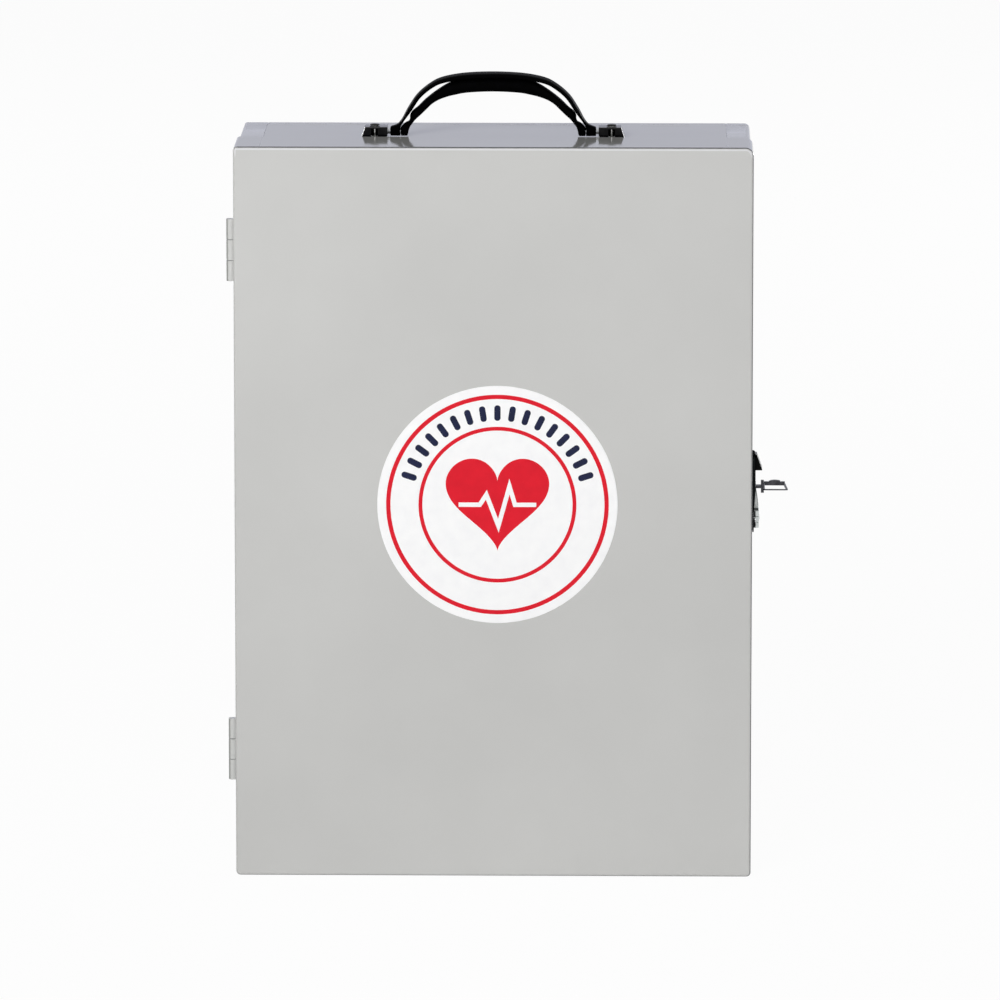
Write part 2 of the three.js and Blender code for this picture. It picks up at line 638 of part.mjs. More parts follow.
// The outline of one strand: out along the upper edge, round the toe and back along the
// lower edge on the right, then the same mirrored on the left.
function strandOutline(upper, toe, lower) {
  const half = (side) => [
    ...smooth(upper, side),
    ...toe.map((point) => handlePoint(point, side)),
    ...smooth(lower, side).reverse(),
  ];
  const right = half(1);
  const left = half(-1).reverse();
  return new THREE.Shape([...right.slice(0, -1), ...left.slice(0, -1)]);
}

// The strands narrow towards the pivots and their toes are half round about the pivot axis,
// so that the folding handle clears the top.
function handleWidthLimit() {
  const half = HANDLE_HALF_WIDTH;
  const neck = HANDLE_NECK_HALF_WIDTH;
  const neckTop = PIVOT_Z + neck;
  const shoulder = neckTop + HANDLE_NECK_SLOPE * (half - neck);
  const top = CASE_TOP_Z + HANDLE_RISE + HANDLE_NECK_HALF_WIDTH;
  const toe = [-80, -60, -40, -20].map((angle) => {
    const turn = THREE.MathUtils.degToRad(angle);
    return [neck * Math.cos(turn), PIVOT_Z + neck * Math.sin(turn)];
  });
  const right = [...toe, [neck, neckTop], [half, shoulder], [half, top]];
  const left = right.map(([y, z]) => [-y, z]).reverse();
  const outline = outlineOf([...right, ...left].map(([y, z]) => [HANDLE_Y + y, z]));
  return extrude("x", outline, [-BOX_WIDTH, BOX_WIDTH]);
}

function handleStrand(outline) {
  const width = [HANDLE_Y - HANDLE_HALF_WIDTH, HANDLE_Y + HANDLE_HALF_WIDTH];
  const bores = [-1, 1].map((side) => {
    const inner = HANDLE_X + side * (HANDLE_HALF_SPAN - PIVOT_PIN_IN_HANDLE - GAP);
    const outer = HANDLE_X + side * FOOT_START;
    return rod("x", PIVOT_PIN_RADIUS + PIVOT_PIN_CLEARANCE, span(inner, outer), [HANDLE_Y, PIVOT_Z]);
  });
  return cut(common(extrude("y", outline, width, HANDLE_EDGE_ROUND), handleWidthLimit()), ...bores);
}

const gripOutline = strandOutline(GRIP_TOP, GRIP_NOTCH, [...GRIP_BOTTOM, ...GRIP_TOE]);
const strapOutline = strandOutline(STRAP_OUTER, STRAP_TOE, STRAP_INNER);
place("handle_grip", handleStrand(gripOutline), BLACK);
place("handle_strap", handleStrand(strapOutline), BLACK);

// A black foot with a slanted outer end, a bore for the pivot pin, and a notch in its front
// that shows the rivet.
function handleFoot(side) {
  const at = (distance) => HANDLE_X + side * distance;
  const base = CASE_TOP_Z + GAP;
  const top = CASE_TOP_Z + FOOT_HEIGHT;
  const end = FOOT_START + FOOT_LENGTH;
  const outline = outlineOf([
    [at(FOOT_START), base],
    [at(end), base],
    [at(end - FOOT_SLANT), top],
    [at(FOOT_START), top],
  ]);
  const width = [HANDLE_Y - FOOT_HALF_WIDTH, HANDLE_Y + FOOT_HALF_WIDTH];
  const rivetX = at(FOOT_RIVET_AT);
  const pinBore = span(at(FOOT_START - 1), at(FOOT_START + PIVOT_PIN_IN_FOOT + GAP));
  return cut(
    extrude("y", outline, width, FOOT_EDGE_ROUND),
    rod("x", PIVOT_PIN_RADIUS + PIVOT_PIN_CLEARANCE, pinBore, [HANDLE_Y, PIVOT_Z]),
    rod("z", FOOT_BORE_RADIUS, widen([base, top], 1), [rivetX, HANDLE_Y]),
    block(
      [rivetX - FOOT_BORE_RADIUS, rivetX + FOOT_BORE_RADIUS],
      [HANDLE_Y - 2 * FOOT_HALF_WIDTH, HANDLE_Y],
      [base - 1, top - FOOT_NOTCH_ROOF],
    ),
  );
}

function washer(centre) {
  const height = [WASHER_TOP_Z - WASHER_THICKNESS, WASHER_TOP_Z];
  return cut(rod("z", WASHER_RADIUS, height, centre), rod("z", FOOT_BORE_RADIUS, widen(height, 1), centre));
}

function pivotPin(side) {
  const inner = HANDLE_X + side * (HANDLE_HALF_SPAN - PIVOT_PIN_IN_HANDLE);
  const outer = HANDLE_X + side * (FOOT_START + PIVOT_PIN_IN_FOOT);
  return rod("x", PIVOT_PIN_RADIUS, span(inner, outer), [HANDLE_Y, PIVOT_Z]);
}

function footRivet(centre) {
  const grip = [WASHER_TOP_Z - WASHER_THICKNESS - GAP, CASE_TOP_Z + FOOT_HEIGHT + GAP];
  const head = FOOT_RIVET_HEAD_HEIGHT;
  return rivet("z", centre, FOOT_RIVET_RADIUS, FOOT_RIVET_HEAD_RADIUS, grip, head, head);
}

for (const [name, side] of Object.entries({ left: -1, right: 1 })) {
  const centre = [HANDLE_X + side * FOOT_RIVET_AT, HANDLE_Y];
  place(`handle_pin_${name}`, pivotPin(side), STEEL);
  place(`handle_foot_${name}`, handleFoot(side), BLACK);
  place(`handle_rivet_${name}`, footRivet(centre), STEEL);
  place(`handle_washer_${name}`, washer(centre), STEEL);
}

// Lock case: a pressed cover on the case's right wall, domed towards the hasp, with a flat
// rear flange for its two rivets.

function lockCaseOutline(wall) {
  const face = LOCK_FACE_X - wall;
  const back = wall > 0 ? LOCK_BACK_X - 1 : LOCK_BACK_X;
  const below = (share) => KEY_Z - share * LOCK_DROP;
  return outlineOf([
    [back, LOCK_FOOT + wall],
    [face + LOCK_BULGE, LOCK_FOOT + wall],
    [face + 0.75 * LOCK_BULGE, below(0.67)],
    [face + 0.2 * LOCK_BULGE, below(0.16)],
    [face, below(-0.12)],
    [face, LOCK_TOP - SHEET],
    [face - SHEET, LOCK_TOP - wall],
    [back, LOCK_TOP - wall],
  ]);
}

function lockCase() {
  const cover = extrude("y", lockCaseOutline(0), [LOCK_FRONT_Y, LOCK_REAR_Y], LOCK_EDGE_ROUND);
  const hollow = extrude("y", lockCaseOutline(SHEET), [LOCK_FRONT_Y + SHEET, LOCK_REAR_Y - SHEET]);
  const flangeTopX = LOCK_BACK_X + LOCK_FLANGE_THICKNESS;
  const flangeCorners = {
    ...sameCorners(LOCK_EDGE_ROUND),
    topRight: LOCK_FLANGE_CORNER,
    bottomRight: LOCK_FLANGE_CORNER,
  };
  const flange = extrude(
    "x",
    roundedOutline([LOCK_REAR_Y - SHEET, LOCK_REAR_Y + LOCK_FLANGE], LOCK_FLANGE_Z, flangeCorners),
    [LOCK_BACK_X, flangeTopX],
  );
  const throughFace = [LOCK_FACE_X - 2 * SHEET, LOCK_FACE_X + 2 * LOCK_BULGE];
  return cut(
    join(cover, flange),
    hollow,
    rod("x", HOUSING_BORE_RADIUS, throughFace, [LOCK_Y, KEY_Z]),
    block(throughFace, widen(STEM_Y, GAP), widen([STEM_Z[0], STEM_Z[1] + SLIDE_TRAVEL], GAP)),
    block(widen(SLIDE_PLATE_X, GAP), widen(FINGER_Y, GAP), [LOCK_FOOT - 1, LOCK_FOOT + 2 * SHEET]),
    ...lockRivetHoles([LOCK_BACK_X - 1, flangeTopX + 1]),
  );
}

function lockRivetHoles(through) {
  return Object.values(LOCK_RIVET_HEIGHTS).map((z) =>
    rod("x", LOCK_RIVET_RADIUS + GAP, through, [LOCK_RIVET_Y, z]));
}

// Slide: the wedge button outside, the plate with its bolt finger inside, and its spring.
// At rest the bolt finger stands under the hasp, and the slide travels up.

function slideButton() {
  const faceX = LOCK_FACE_X + GAP;
  const tip = faceX + BUTTON_PROUD;
  const outline = outlineOf([
    [faceX, BUTTON_BOTTOM],
    [tip, BUTTON_BOTTOM],
    [tip, BUTTON_BOTTOM + BUTTON_EDGE],
    [faceX + BUTTON_EDGE / 2, LOCK_TOP],
    [faceX, LOCK_TOP],
  ]);
  const wedge = extrude("y", outline, [LOCK_Y - BUTTON_HALF_WIDTH, LOCK_Y + BUTTON_HALF_WIDTH]);
  return join(wedge, block([SLIDE_PLATE_X[1] + GAP, faceX + BUTTON_EDGE / 2], STEM_Y, STEM_Z));
}

function slidePlate() {
  const bottom = LOCK_FOOT + SHEET + GAP;
  const plate = block(
    SLIDE_PLATE_X,
    [LOCK_Y - SLIDE_WINDOW_HALF - SLIDE_SIDE_BAR, SLIDE_REAR_Y],
    [bottom, STEM_Z[1]],
  );
  const window = block(
    widen(SLIDE_PLATE_X, 1),
    [LOCK_Y - SLIDE_WINDOW_HALF, LOCK_Y + SLIDE_WINDOW_HALF],
    SLIDE_WINDOW_Z,
  );
  const finger = block(SLIDE_PLATE_X, FINGER_Y, [LOCK_FOOT - FINGER_REACH, bottom + GAP]);
  const seat = block(
    [SLIDE_PLATE_X[0], SLIDE_PLATE_X[1] + SPRING_COIL_RADIUS],
    [SLIDE_REAR_Y - SHEET / 2, SPRING_Y + SPRING_COIL_RADIUS],
    [SPRING_SEAT_Z, SPRING_SEAT_Z + SPRING_SEAT_THICKNESS],
  );
  return join(cut(plate, window), finger, seat);
}

// One unbroken wire, wound at a steady rate from the seat up to the lock case's top wall.
class Coil extends THREE.Curve {
  constructor(centre, low, high) {
    super();
    this.centre = centre;
    this.low = low;
    this.high = high;
  }

  getPoint(t, target = new THREE.Vector3()) {
    const angle = t * SPRING_TURNS * 2 * Math.PI;
    return target.set(
      this.centre[0] + SPRING_COIL_RADIUS * Math.cos(angle),
      this.centre[1] + SPRING_COIL_RADIUS * Math.sin(angle),
      this.low + t * (this.high - this.low),
    );
  }
}

function slideSpring() {
  const margin = GAP + SPRING_WIRE_RADIUS;
  const centre = [LOCK_BACK_X + SPRING_SPACE / 2, SPRING_Y];
  const low = SPRING_SEAT_Z + SPRING_SEAT_THICKNESS + margin;
  const coil = new Coil(centre, low, LOCK_TOP - SHEET - margin);
  const wireSides = 5;
  const corners = Array.from({ length: wireSides }, (_, corner) => {
    const angle = (corner * 2 * Math.PI) / wireSides;
    return [SPRING_WIRE_RADIUS * Math.cos(angle), SPRING_WIRE_RADIUS * Math.sin(angle)];
  });
  return new THREE.ExtrudeGeometry(outlineOf(corners), { steps: 8 * SPRING_TURNS, extrudePath: coil });
}

place("lock_case", lockCase(), STEEL);
place("slide_button", slideButton(), DARK_STEEL);
place("slide_plate", slidePlate(), STEEL);
place("slide_spring", slideSpring(), STEEL);

// Lock cylinder: a fixed housing through the wall, a plate behind the wall, the turning plug
// with its keyway, and the cam that its screw holds on.

function lockRod(radius, ends, sides = 24) {
  return rod("x", radius, ends, [LOCK_Y, KEY_Z], sides);
}

function housing() {
  return cut(lockRod(HOUSING_RADIUS, HOUSING_X), lockRod(HOUSING_BORE_RADIUS, widen(HOUSING_X, 1)));
}

function backPlate() {
  const across = widen([LOCK_FRONT_Y, LOCK_REAR_Y + LOCK_FLANGE], -LOCK_FLANGE_INSET);
  const outline = roundedOutline(across, LOCK_FLANGE_Z, sameCorners(LOCK_FLANGE_CORNER));
  const through = [BACK_PLATE_X - 1, CASE_INNER_X];
  return cut(
    extrude("x", outline, [BACK_PLATE_X, BACK_PLATE_X + SHEET]),
    lockRod(HOUSING_HOLE_RADIUS, through),
    ...lockRivetHoles(through),
  );
}

function plug() {
  return cut(
    lockRod(PLUG_RADIUS, [PLUG_REAR_X, PLUG_FACE_X]),
    block(
      [KEYWAY_END_X, PLUG_FACE_X + 1],
      [LOCK_Y - KEYWAY_HALF_WIDTH, LOCK_Y + KEYWAY_HALF_WIDTH],
      [KEY_Z - KEYWAY_HALF_HEIGHT, KEY_Z + KEYWAY_HALF_HEIGHT],
    ),
    lockRod(CAM_SCREW_RADIUS + GAP, [PLUG_REAR_X - 1, PLUG_REAR_X + CAM_SCREW_DEPTH + GAP], 12),
  );
}

function cam() {
  const arm = block(CAM_X, [LOCK_Y - CAM_HALF_WIDTH, LOCK_Y + CAM_HALF_WIDTH], [KEY_Z, KEY_Z + CAM_REACH]);
  return cut(join(lockRod(PLUG_RADIUS, CAM_X), arm), lockRod(CAM_SCREW_RADIUS + GAP, widen(CAM_X, 1), 12));
}

function camScrew() {
  const headX = [CAM_X[0] - GAP - CAM_SCREW_HEAD_HEIGHT, CAM_X[0] - GAP];
  const slot = block(
    [headX[0] - 1, headX[0] + CAM_SCREW_SLOT],
    widen([LOCK_Y - CAM_SCREW_HEAD_RADIUS, LOCK_Y + CAM_SCREW_HEAD_RADIUS], 1),
    [KEY_Z - CAM_SCREW_SLOT / 2, KEY_Z + CAM_SCREW_SLOT / 2],
  );
  const shank = lockRod(CAM_SCREW_RADIUS, [headX[1] - GAP, PLUG_REAR_X + CAM_SCREW_DEPTH], 12);
  return cut(join(lockRod(CAM_SCREW_HEAD_RADIUS, headX, 16), shank), slot);
}

place("lock_housing", housing(), STEEL);
place("lock_back_plate", backPlate(), STEEL);
place("lock_plug", plug(), STEEL);
place("lock_cam", cam(), STEEL);
place("cam_screw", camScrew(), STEEL);

function smallRivet(centre, shankRadius, headRadius, grip) {
  const tail = SMALL_RIVET_TAIL_HEIGHT;
  return rivet("x", centre, shankRadius, headRadius, grip, tail, SMALL_RIVET_HEAD_HEIGHT);
}

for (const [name, z] of Object.entries(LOCK_RIVET_HEIGHTS)) {
  const grip = widen([BACK_PLATE_X, LOCK_BACK_X + LOCK_FLANGE_THICKNESS], GAP);
  const shape = smallRivet([LOCK_RIVET_Y, z], LOCK_RIVET_RADIUS, LOCK_RIVET_HEAD_RADIUS, grip);
  place(`lock_rivet_${name}`, shape, STEEL);
}

// Hasp: a domed flap that reaches from its pin on the door back over the seam, and the
// riveted plate that carries the pin.

function haspOutline(wall) {
  const back = wall > 0 ? HASP_INNER_X - 1 : HASP_INNER_X;
  const rise = DOOR_SIDE_X + HASP_DOME_HEIGHT - HASP_INNER_X;
  const dome = [[0.28, 0], [0.6, 0.07], [0.87, 0.24], [1, 0.51], [0.87, 1]].map(([out, up]) =>
    [HASP_INNER_X + out * rise - wall, HASP_BOTTOM + wall + up * (HASP_HEIGHT - 2 * wall)]);
  return outlineOf([[back, HASP_BOTTOM + wall], ...dome, [back, HASP_TOP - wall]]);
}

function haspKnuckleSpans() {
  const length = (HASP_HEIGHT - 2 * GAP) / 3;
  return [0, 1, 2].map((index) => {
    const low = HASP_BOTTOM + index * (length + GAP);
    return [low, low + length];
  });
}

function haspPinRod(radius, height) {
  return rod("z", radius, height, [HASP_PIN_X, HASP_PIN_Y], 16);
}

function haspBore() {
  return haspPinRod(HASP_PIN_RADIUS + HASP_PIN_CLEARANCE, widen([HASP_BOTTOM, HASP_TOP], 1));
}

function hasp() {
  const spans = haspKnuckleSpans().filter((_, index) => index !== 1);
  const shell = cut(
    extrude("y", haspOutline(0), [HASP_FRONT_Y, HASP_REAR_Y], HASP_EDGE_ROUND),
    extrude("y", haspOutline(SHEET), [HASP_FRONT_Y + SHEET, HASP_REAR_Y - SHEET]),
  );
  const tabX = [HASP_PIN_X - HASP_KNUCKLE_RADIUS / 2, HASP_PIN_X + HASP_KNUCKLE_RADIUS / 2];
  const tabs = spans.map((height) =>
    block(tabX, [HASP_PIN_Y, HASP_FRONT_Y + SHEET], widen(height, -GAP)));
  const knuckleRods = spans.map((height) => haspPinRod(HASP_KNUCKLE_RADIUS, height));
  return cut(join(shell, ...tabs, ...knuckleRods), haspBore());
}

const HASP_PLATE_X = [DOOR_SIDE_X + GAP, DOOR_SIDE_X + GAP + SHEET];

function haspPlate() {
  const frontY = haspRivetPlaces()[0][0] - HASP_RIVET_HEAD_RADIUS - HASP_PLATE_MARGIN;
  const middleKnuckle = haspKnuckleSpans()[1];
  const corners = { ...sameCorners(GAP), topLeft: HASP_PLATE_CORNER, bottomLeft: HASP_PLATE_CORNER };
  const outline = roundedOutline([frontY, HASP_PLATE_REAR_Y], [HASP_BOTTOM, HASP_TOP], corners);
  return cut(
    join(
      extrude("x", outline, HASP_PLATE_X),
      block([HASP_PLATE_X[0], HASP_PIN_X], [HASP_PLATE_REAR_Y - 1, HASP_PIN_Y], middleKnuckle),
      haspPinRod(HASP_KNUCKLE_RADIUS, middleKnuckle),
    ),
    haspBore(),
    ...haspRivetHoles(widen(HASP_PLATE_X, 1)),
  );
}

place("hasp", hasp(), STEEL);
place("hasp_plate", haspPlate(), STEEL);
place("hasp_pin", haspPinRod(HASP_PIN_RADIUS, [HASP_BOTTOM, HASP_TOP]), STEEL);

haspRivetPlaces().forEach((centre, index) => {
  const grip = widen([DOOR_SIDE_X - SHEET, HASP_PLATE_X[1]], GAP);
  const shape = smallRivet(centre, HASP_RIVET_RADIUS, HASP_RIVET_HEAD_RADIUS, grip);
  place(`hasp_rivet_${index + 1}`, shape, STEEL);
});

// Key: a flat notched blade, a round collar and a bow lying level. The bow is a thin loop
// with a slanted outer end, and its rear side is a thick spine with a low hump on top.

function keyLoop(startX) {
  const outline = (inset) => {
    const [nearY, farY] = widen([LOCK_Y, LOCK_Y], KEY_BOW_HALF_WIDTH - inset);
    const endX = startX + KEY_BOW_LENGTH - inset;
    const corners = [
      [startX + inset, nearY],
      [endX, nearY],
      [endX - KEY_BOW_SLANT, farY],
      [startX + inset, farY],
    ];
    return softOutline(corners, KEY_BOW_CORNER - inset / 2);
  };
  const loop = outline(0);
  loop.holes.push(outline(KEY_BOW_BAR));
  return extrude("z", loop, widen([KEY_Z, KEY_Z], KEY_BOW_THICKNESS / 2));
}

function keySpine(startX) {
  const [low, high] = widen([KEY_Z, KEY_Z], KEY_SPINE_HEIGHT / 2);
  const outline = new THREE.Shape();
  outline.moveTo(startX, low);
  outline.lineTo(startX + KEY_SPINE_LENGTH, low);
  outline.lineTo(startX + KEY_SPINE_LENGTH, high);
  outline.absellipse(startX + KEY_HUMP_AT, high, KEY_HUMP_REACH, KEY_HUMP_HEIGHT, 0, Math.PI);
  outline.lineTo(startX, high);
  const rearY = LOCK_Y + KEY_BOW_HALF_WIDTH;
  return extrude("y", outline, [rearY - KEY_SPINE_WIDTH, rearY], KEY_SPINE_EDGE_ROUND, 6);
}

function key() {
  const bladeEnd = KEYWAY_END_X + GAP;
  const collarX = LOCK_FACE_X + BUTTON_PROUD - GAP;
  const collarEnd = collarX + KEY_COLLAR_THICKNESS;
  const bowStart = collarX + KEY_BOW_SETBACK;
  const half = KEY_BLADE_WIDTH / 2;
  const level = [KEY_Z - KEY_THICKNESS / 2, KEY_Z + KEY_THICKNESS / 2];
  const blade = block([bladeEnd, collarEnd], [LOCK_Y - half, LOCK_Y + half], level);
  const notches = KEY_NOTCH_DEPTHS.map((depth, index) => {
    const x = bladeEnd + (index + 1) * KEY_NOTCH_PITCH;
    const width = [x - KEY_NOTCH_HALF_WIDTH, x + KEY_NOTCH_HALF_WIDTH];
    return block(width, [LOCK_Y + half - depth, LOCK_Y + 2 * half], widen(level, 1));
  });
  return join(
    cut(blade, ...notches),
    rod("x", KEY_COLLAR_RADIUS, [collarX, collarEnd], [LOCK_Y, KEY_Z]),
    keyLoop(bowStart),
    keySpine(bowStart),
  );
}

place("key", key(), DARK_STEEL);

export default firstAidBox;
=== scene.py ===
"""A grey enamelled first aid box in a plain studio.

It has a lapped door with a round label, two hinges, a folding handle between riveted feet, and
a spring latch with its key. Metres, +Z up, the door faces -Y. Sizes are written in millimetres
and turned to metres by MM.
"""

import json
import math

import bmesh
import bpy
import numpy as np
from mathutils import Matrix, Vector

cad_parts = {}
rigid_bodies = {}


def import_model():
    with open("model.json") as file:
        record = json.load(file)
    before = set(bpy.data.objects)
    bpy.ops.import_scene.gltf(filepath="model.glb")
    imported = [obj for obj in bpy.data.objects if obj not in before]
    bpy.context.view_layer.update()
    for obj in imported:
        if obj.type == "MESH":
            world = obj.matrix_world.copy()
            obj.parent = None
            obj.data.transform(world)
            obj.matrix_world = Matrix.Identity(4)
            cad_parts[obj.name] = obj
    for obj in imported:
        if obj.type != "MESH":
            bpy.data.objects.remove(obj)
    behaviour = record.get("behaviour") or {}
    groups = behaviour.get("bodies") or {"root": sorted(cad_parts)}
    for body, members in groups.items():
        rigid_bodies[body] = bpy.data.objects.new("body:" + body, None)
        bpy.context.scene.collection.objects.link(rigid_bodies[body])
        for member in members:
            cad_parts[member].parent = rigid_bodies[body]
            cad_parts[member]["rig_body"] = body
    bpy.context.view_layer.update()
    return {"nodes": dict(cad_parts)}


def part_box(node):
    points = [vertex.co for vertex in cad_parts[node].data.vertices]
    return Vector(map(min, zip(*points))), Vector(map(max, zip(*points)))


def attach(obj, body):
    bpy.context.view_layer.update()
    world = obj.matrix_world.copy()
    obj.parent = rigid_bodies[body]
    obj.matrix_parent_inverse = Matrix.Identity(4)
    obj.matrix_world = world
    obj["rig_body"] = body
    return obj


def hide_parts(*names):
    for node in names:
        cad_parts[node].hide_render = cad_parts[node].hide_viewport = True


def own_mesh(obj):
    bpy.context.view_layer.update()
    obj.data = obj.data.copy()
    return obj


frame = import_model()

MM = 0.001
HINGES = ("lower_hinge_", "upper_hinge_")
SIDES = ("left", "right")

# Meshes, in millimetres and degrees
DOUBLES_WITHIN = 0.001
FLAT_WITHIN = 1
BEVEL_FROM = 40
CASE_CREASE = 50
HANDLE_CREASE = 60
CORNER_STEPS = 10
LEAST_CORNER = 0.15

# The folded door: how far in the flat front's rings lie, and how far behind the bend its fold
# seams start
SHEET = 0.8
DOOR_BEND = 1.5
BEND_POINTS = 9
DOOR_CORNERS = (4.4, 2.0, 2.4, 2.4)
FRONT_RING = 9
BEND_MARGIN = 0.5
CUT_EDGE_BREAK = 0.15
FOLD_SEAM_X = 125.8
FOLD_SEAM_WIDTH = 0.5
FOLD_SEAM_DEPTH = 0.12
FOLD_SEAM_FLOOR = 0.8
FOLD_SEAM_START = 1

# The label's print, measured from its middle
LABEL_FRONT = -57.8
LABEL_CENTRE = (2.3, 205.4)
INK_THICKNESS = 0.04
INK_SUNK = 0.01
OUTER_RING = (57.85, 60.2)
INNER_RING = (40.6, 42.7)
PRINT_POINTS = 160
HEART_WIDTH = 56
HEART_LIFT = 2.5
PULSE_LINE = [(-21, 0), (-9.5, 0), (-6, 5.5), (0.5, -11.5), (6.5, 10), (9.5, 0), (21, 0)]
PULSE_WIDTH = 2.4
TICK_COUNT = 17
TICK_SIZE = (3.4, 8.5)
TICK_RADIUS = 50.2
TICK_LAST_ANGLE = 72
TICK_FLAT_END = 0.1
TICK_CORNER_STEPS = 6

# The disc's rounded rim: how far each ring lies in from it, and back from the face
DISC_POINTS = 192
DISC_RIM = [(0, 0.08), (0.06, 0.02), (0.2, 0), (3, 0)]

# The lock's slide and its button
BUTTON_BACK = 142.5
BUTTON_DRAWN_IN = 0.25
BUTTON_BACK_WITHIN = 0.01

# The handle's strands, from the middle outwards: where the upper and then the lower edge lies,
# each as a share of the half span and of the rise
HANDLE_RISE = 35.3
PIVOT_HEIGHT = 3
NECK_HALF_WIDTH = 2.6
NECK_SLOPE = 1.6
HANDLE_HALF_WIDTH = 6.5
TOE_LEAST_HALF_WIDTH = 0.1
STRAND_RINGS = 161
STRAND_SIDES = 36
GRIP_SQUARENESS = 2.8
STRAP_SQUARENESS = 3.6
STRAP_STATIONS = [
    (0, 1, 0, 0.912), (0.281, 0.98, 0.275, 0.893), (0.491, 0.918, 0.479, 0.838),
    (0.614, 0.822, 0.589, 0.759), (0.737, 0.657, 0.704, 0.606), (0.825, 0.453, 0.786, 0.414),
    (0.879, 0.292, 0.854, 0.266), (0.923, 0.204, 0.882, 0.195), (0.965, 0.173, 0.896, 0.15),
    (0.995, 0.15, 0.9, 0.1), (1, 0.07, 0.9, 0.05), (0.995, 0.015, 0.9, 0.013),
]
GRIP_STATIONS = [
    (0, 0.905, 0, 0.705), (0.246, 0.892, 0.246, 0.687), (0.368, 0.868, 0.37, 0.652),
    (0.456, 0.812, 0.44, 0.625), (0.561, 0.703, 0.52, 0.58), (0.658, 0.58, 0.588, 0.516),
    (0.728, 0.47, 0.645, 0.43), (0.781, 0.402, 0.7, 0.345), (0.805, 0.34, 0.735, 0.295),
    (0.806, 0.29, 0.762, 0.25), (0.818, 0.245, 0.785, 0.2), (0.848, 0.222, 0.804, 0.158),
    (0.88, 0.178, 0.814, 0.12), (0.898, 0.135, 0.82, 0.09), (0.898, 0.07, 0.824, 0.05),
    (0.893, 0.015, 0.832, 0.015),
]

# Rivets: the flange of the tail as a share of the head, and the broken edges
RIVET_SIDES = 40
RIVET_CORE = 0.02
RIVET_FLANGE = 0.85
TAIL_EDGE_BREAK = 0.25
SHANK_STEP = 0.05
HEAD_UNDERCUT = 0.15
DOME_POINTS = 9
DOME_LAST_ANGLE = 88

# Where finishes change, in millimetres: where the change begins and where it is whole. The fold's
# painted shade and painted highlight are shares of U round the bend, the bead's patch is two values
# of a noise, and the lock's painted shade leans by a slope
FOLD_PAINTED_SHADE = (0.24, 0.4)
FOLD_PAINTED_HIGHLIGHT = (0.08, 0.17)
FOLD_SOFT = 0.02
OFF_THE_HINGE_SIDE = (-139.8, -137)
DOOR_TOP = (394, 397)
CASE_TOP = (397.5, 398.1)
BEAD_Y = (48, 50)
BEAD_SLOPE = 1.2
BEAD_HEIGHT = 0.3
BEAD_PATCHES_PER_METRE = 48
BEAD_PATCH = (0.46, 0.56)
BARREL_PAINTED_SHADE = (-144.6, -145.2)
# Painted shade on the lock and hasp: how far out it reaches, its lean and its soft edge
LOCK_PAINTED_SHADE_UP_TO = 125.7
LOCK_PAINTED_SHADE_LEAN = 0.08
HASP_PAINTED_SHADE_UP_TO = 141.2
PAINTED_SHADE_SOFT = 0.2

# Most of a noise's values lie between these
NOISE_LOW, NOISE_HIGH = 0.3, 0.7
FROM_NOISE = {"From Min": NOISE_LOW, "From Max": NOISE_HIGH}

# The colour sockets of a mix, which share their names with those for numbers and vectors
MIX_A, MIX_B, MIX_RESULT = 6, 7, 2

# The studio, in metres, watts and degrees
FLOOR_REACH = 9
BACKDROP_Y, BACKDROP_REACH, BACKDROP_HEIGHT = 6.5, 5, 3
AMBIENT = 0.14
SOFTBOXES = [
    # name, place, what it looks at, size, watts, whether reflections show it
    ("key_softbox", (-0.8, -2.3, 1.25), (0, 0, 0.3), 1.1, 44.5, False),
    ("fill_softbox", (2.4, -3.2, 0.7), (0, 0, 0.2), 1.6, 21, False),
    ("rear_softbox", (1.9, 3.0, 0.5), (0, 0, 0.2), 0.8, 42, True),
    ("rear_fill_softbox", (-1.9, 3.0, 0.5), (0, 0, 0.2), 0.8, 30, True),
]
CAMERA_LENS, CAMERA_SENSOR, CAMERA_SEES_TO = 333.9, 36, 60
CAMERA_PLACE = (0.0942, -5.0, 1.0466)
CAMERA_LOOKS_DOWN, CAMERA_LOOKS_LEFT = 9.6286, 1.0492


# Meshes

def skin(rings, closed=False):
    """Points, face corners, corners a face and UVs of a skin over rings (rows, sides, 3).

    Between rows r, r+1 and sides c, c+1 lies one quad, and the last side meets the first. The end
    rings are filled, or with closed the last ring meets the first. Where the volume, the sum of
    a.(b x c) / 6 over the triangles, comes out negative, every face is turned round. U runs
    along the rows and V round the sides.
    """
    rows, sides = rings.shape[:2]
    points = rings.reshape(-1, 3)
    row = np.arange(rows if closed else rows - 1)[:, None, None] + np.array([0, 0, 1, 1])
    side = np.arange(sides)[None, :, None] + np.array([0, 1, 1, 0])
    row, side = np.broadcast_arrays(row, side)
    quads = (row % rows * sides + side % sides).reshape(-1, 4)
    uvs = np.stack([row / (rows - 1), side / sides], -1).reshape(-1, 4, 2)
    ends = [] if closed else [np.arange(sides)[::-1], np.arange(sides) + (rows - 1) * sides]
    fans = [np.stack([np.full(sides - 2, end[0]), end[1:-1], end[2:]], -1) for end in ends]
    triangles = np.concatenate([quads[:, [0, 1, 2]], quads[:, [0, 2, 3]], *fans])
    a, b, c = (points[triangles[:, corner]] for corner in range(3))
    step = -1 if np.einsum("ij,ij->", a, np.cross(b, c)) < 0 else 1
    corners = np.concatenate([quads[:, ::step].ravel(), *[end[::step] for end in ends]])
    counts = np.repeat([4, sides], [len(quads), len(ends)])
    flat_uvs = np.concatenate([uvs[:, ::step].reshape(-1, 2), np.zeros((sides * len(ends), 2))])
    return points, corners, counts, flat_uvs


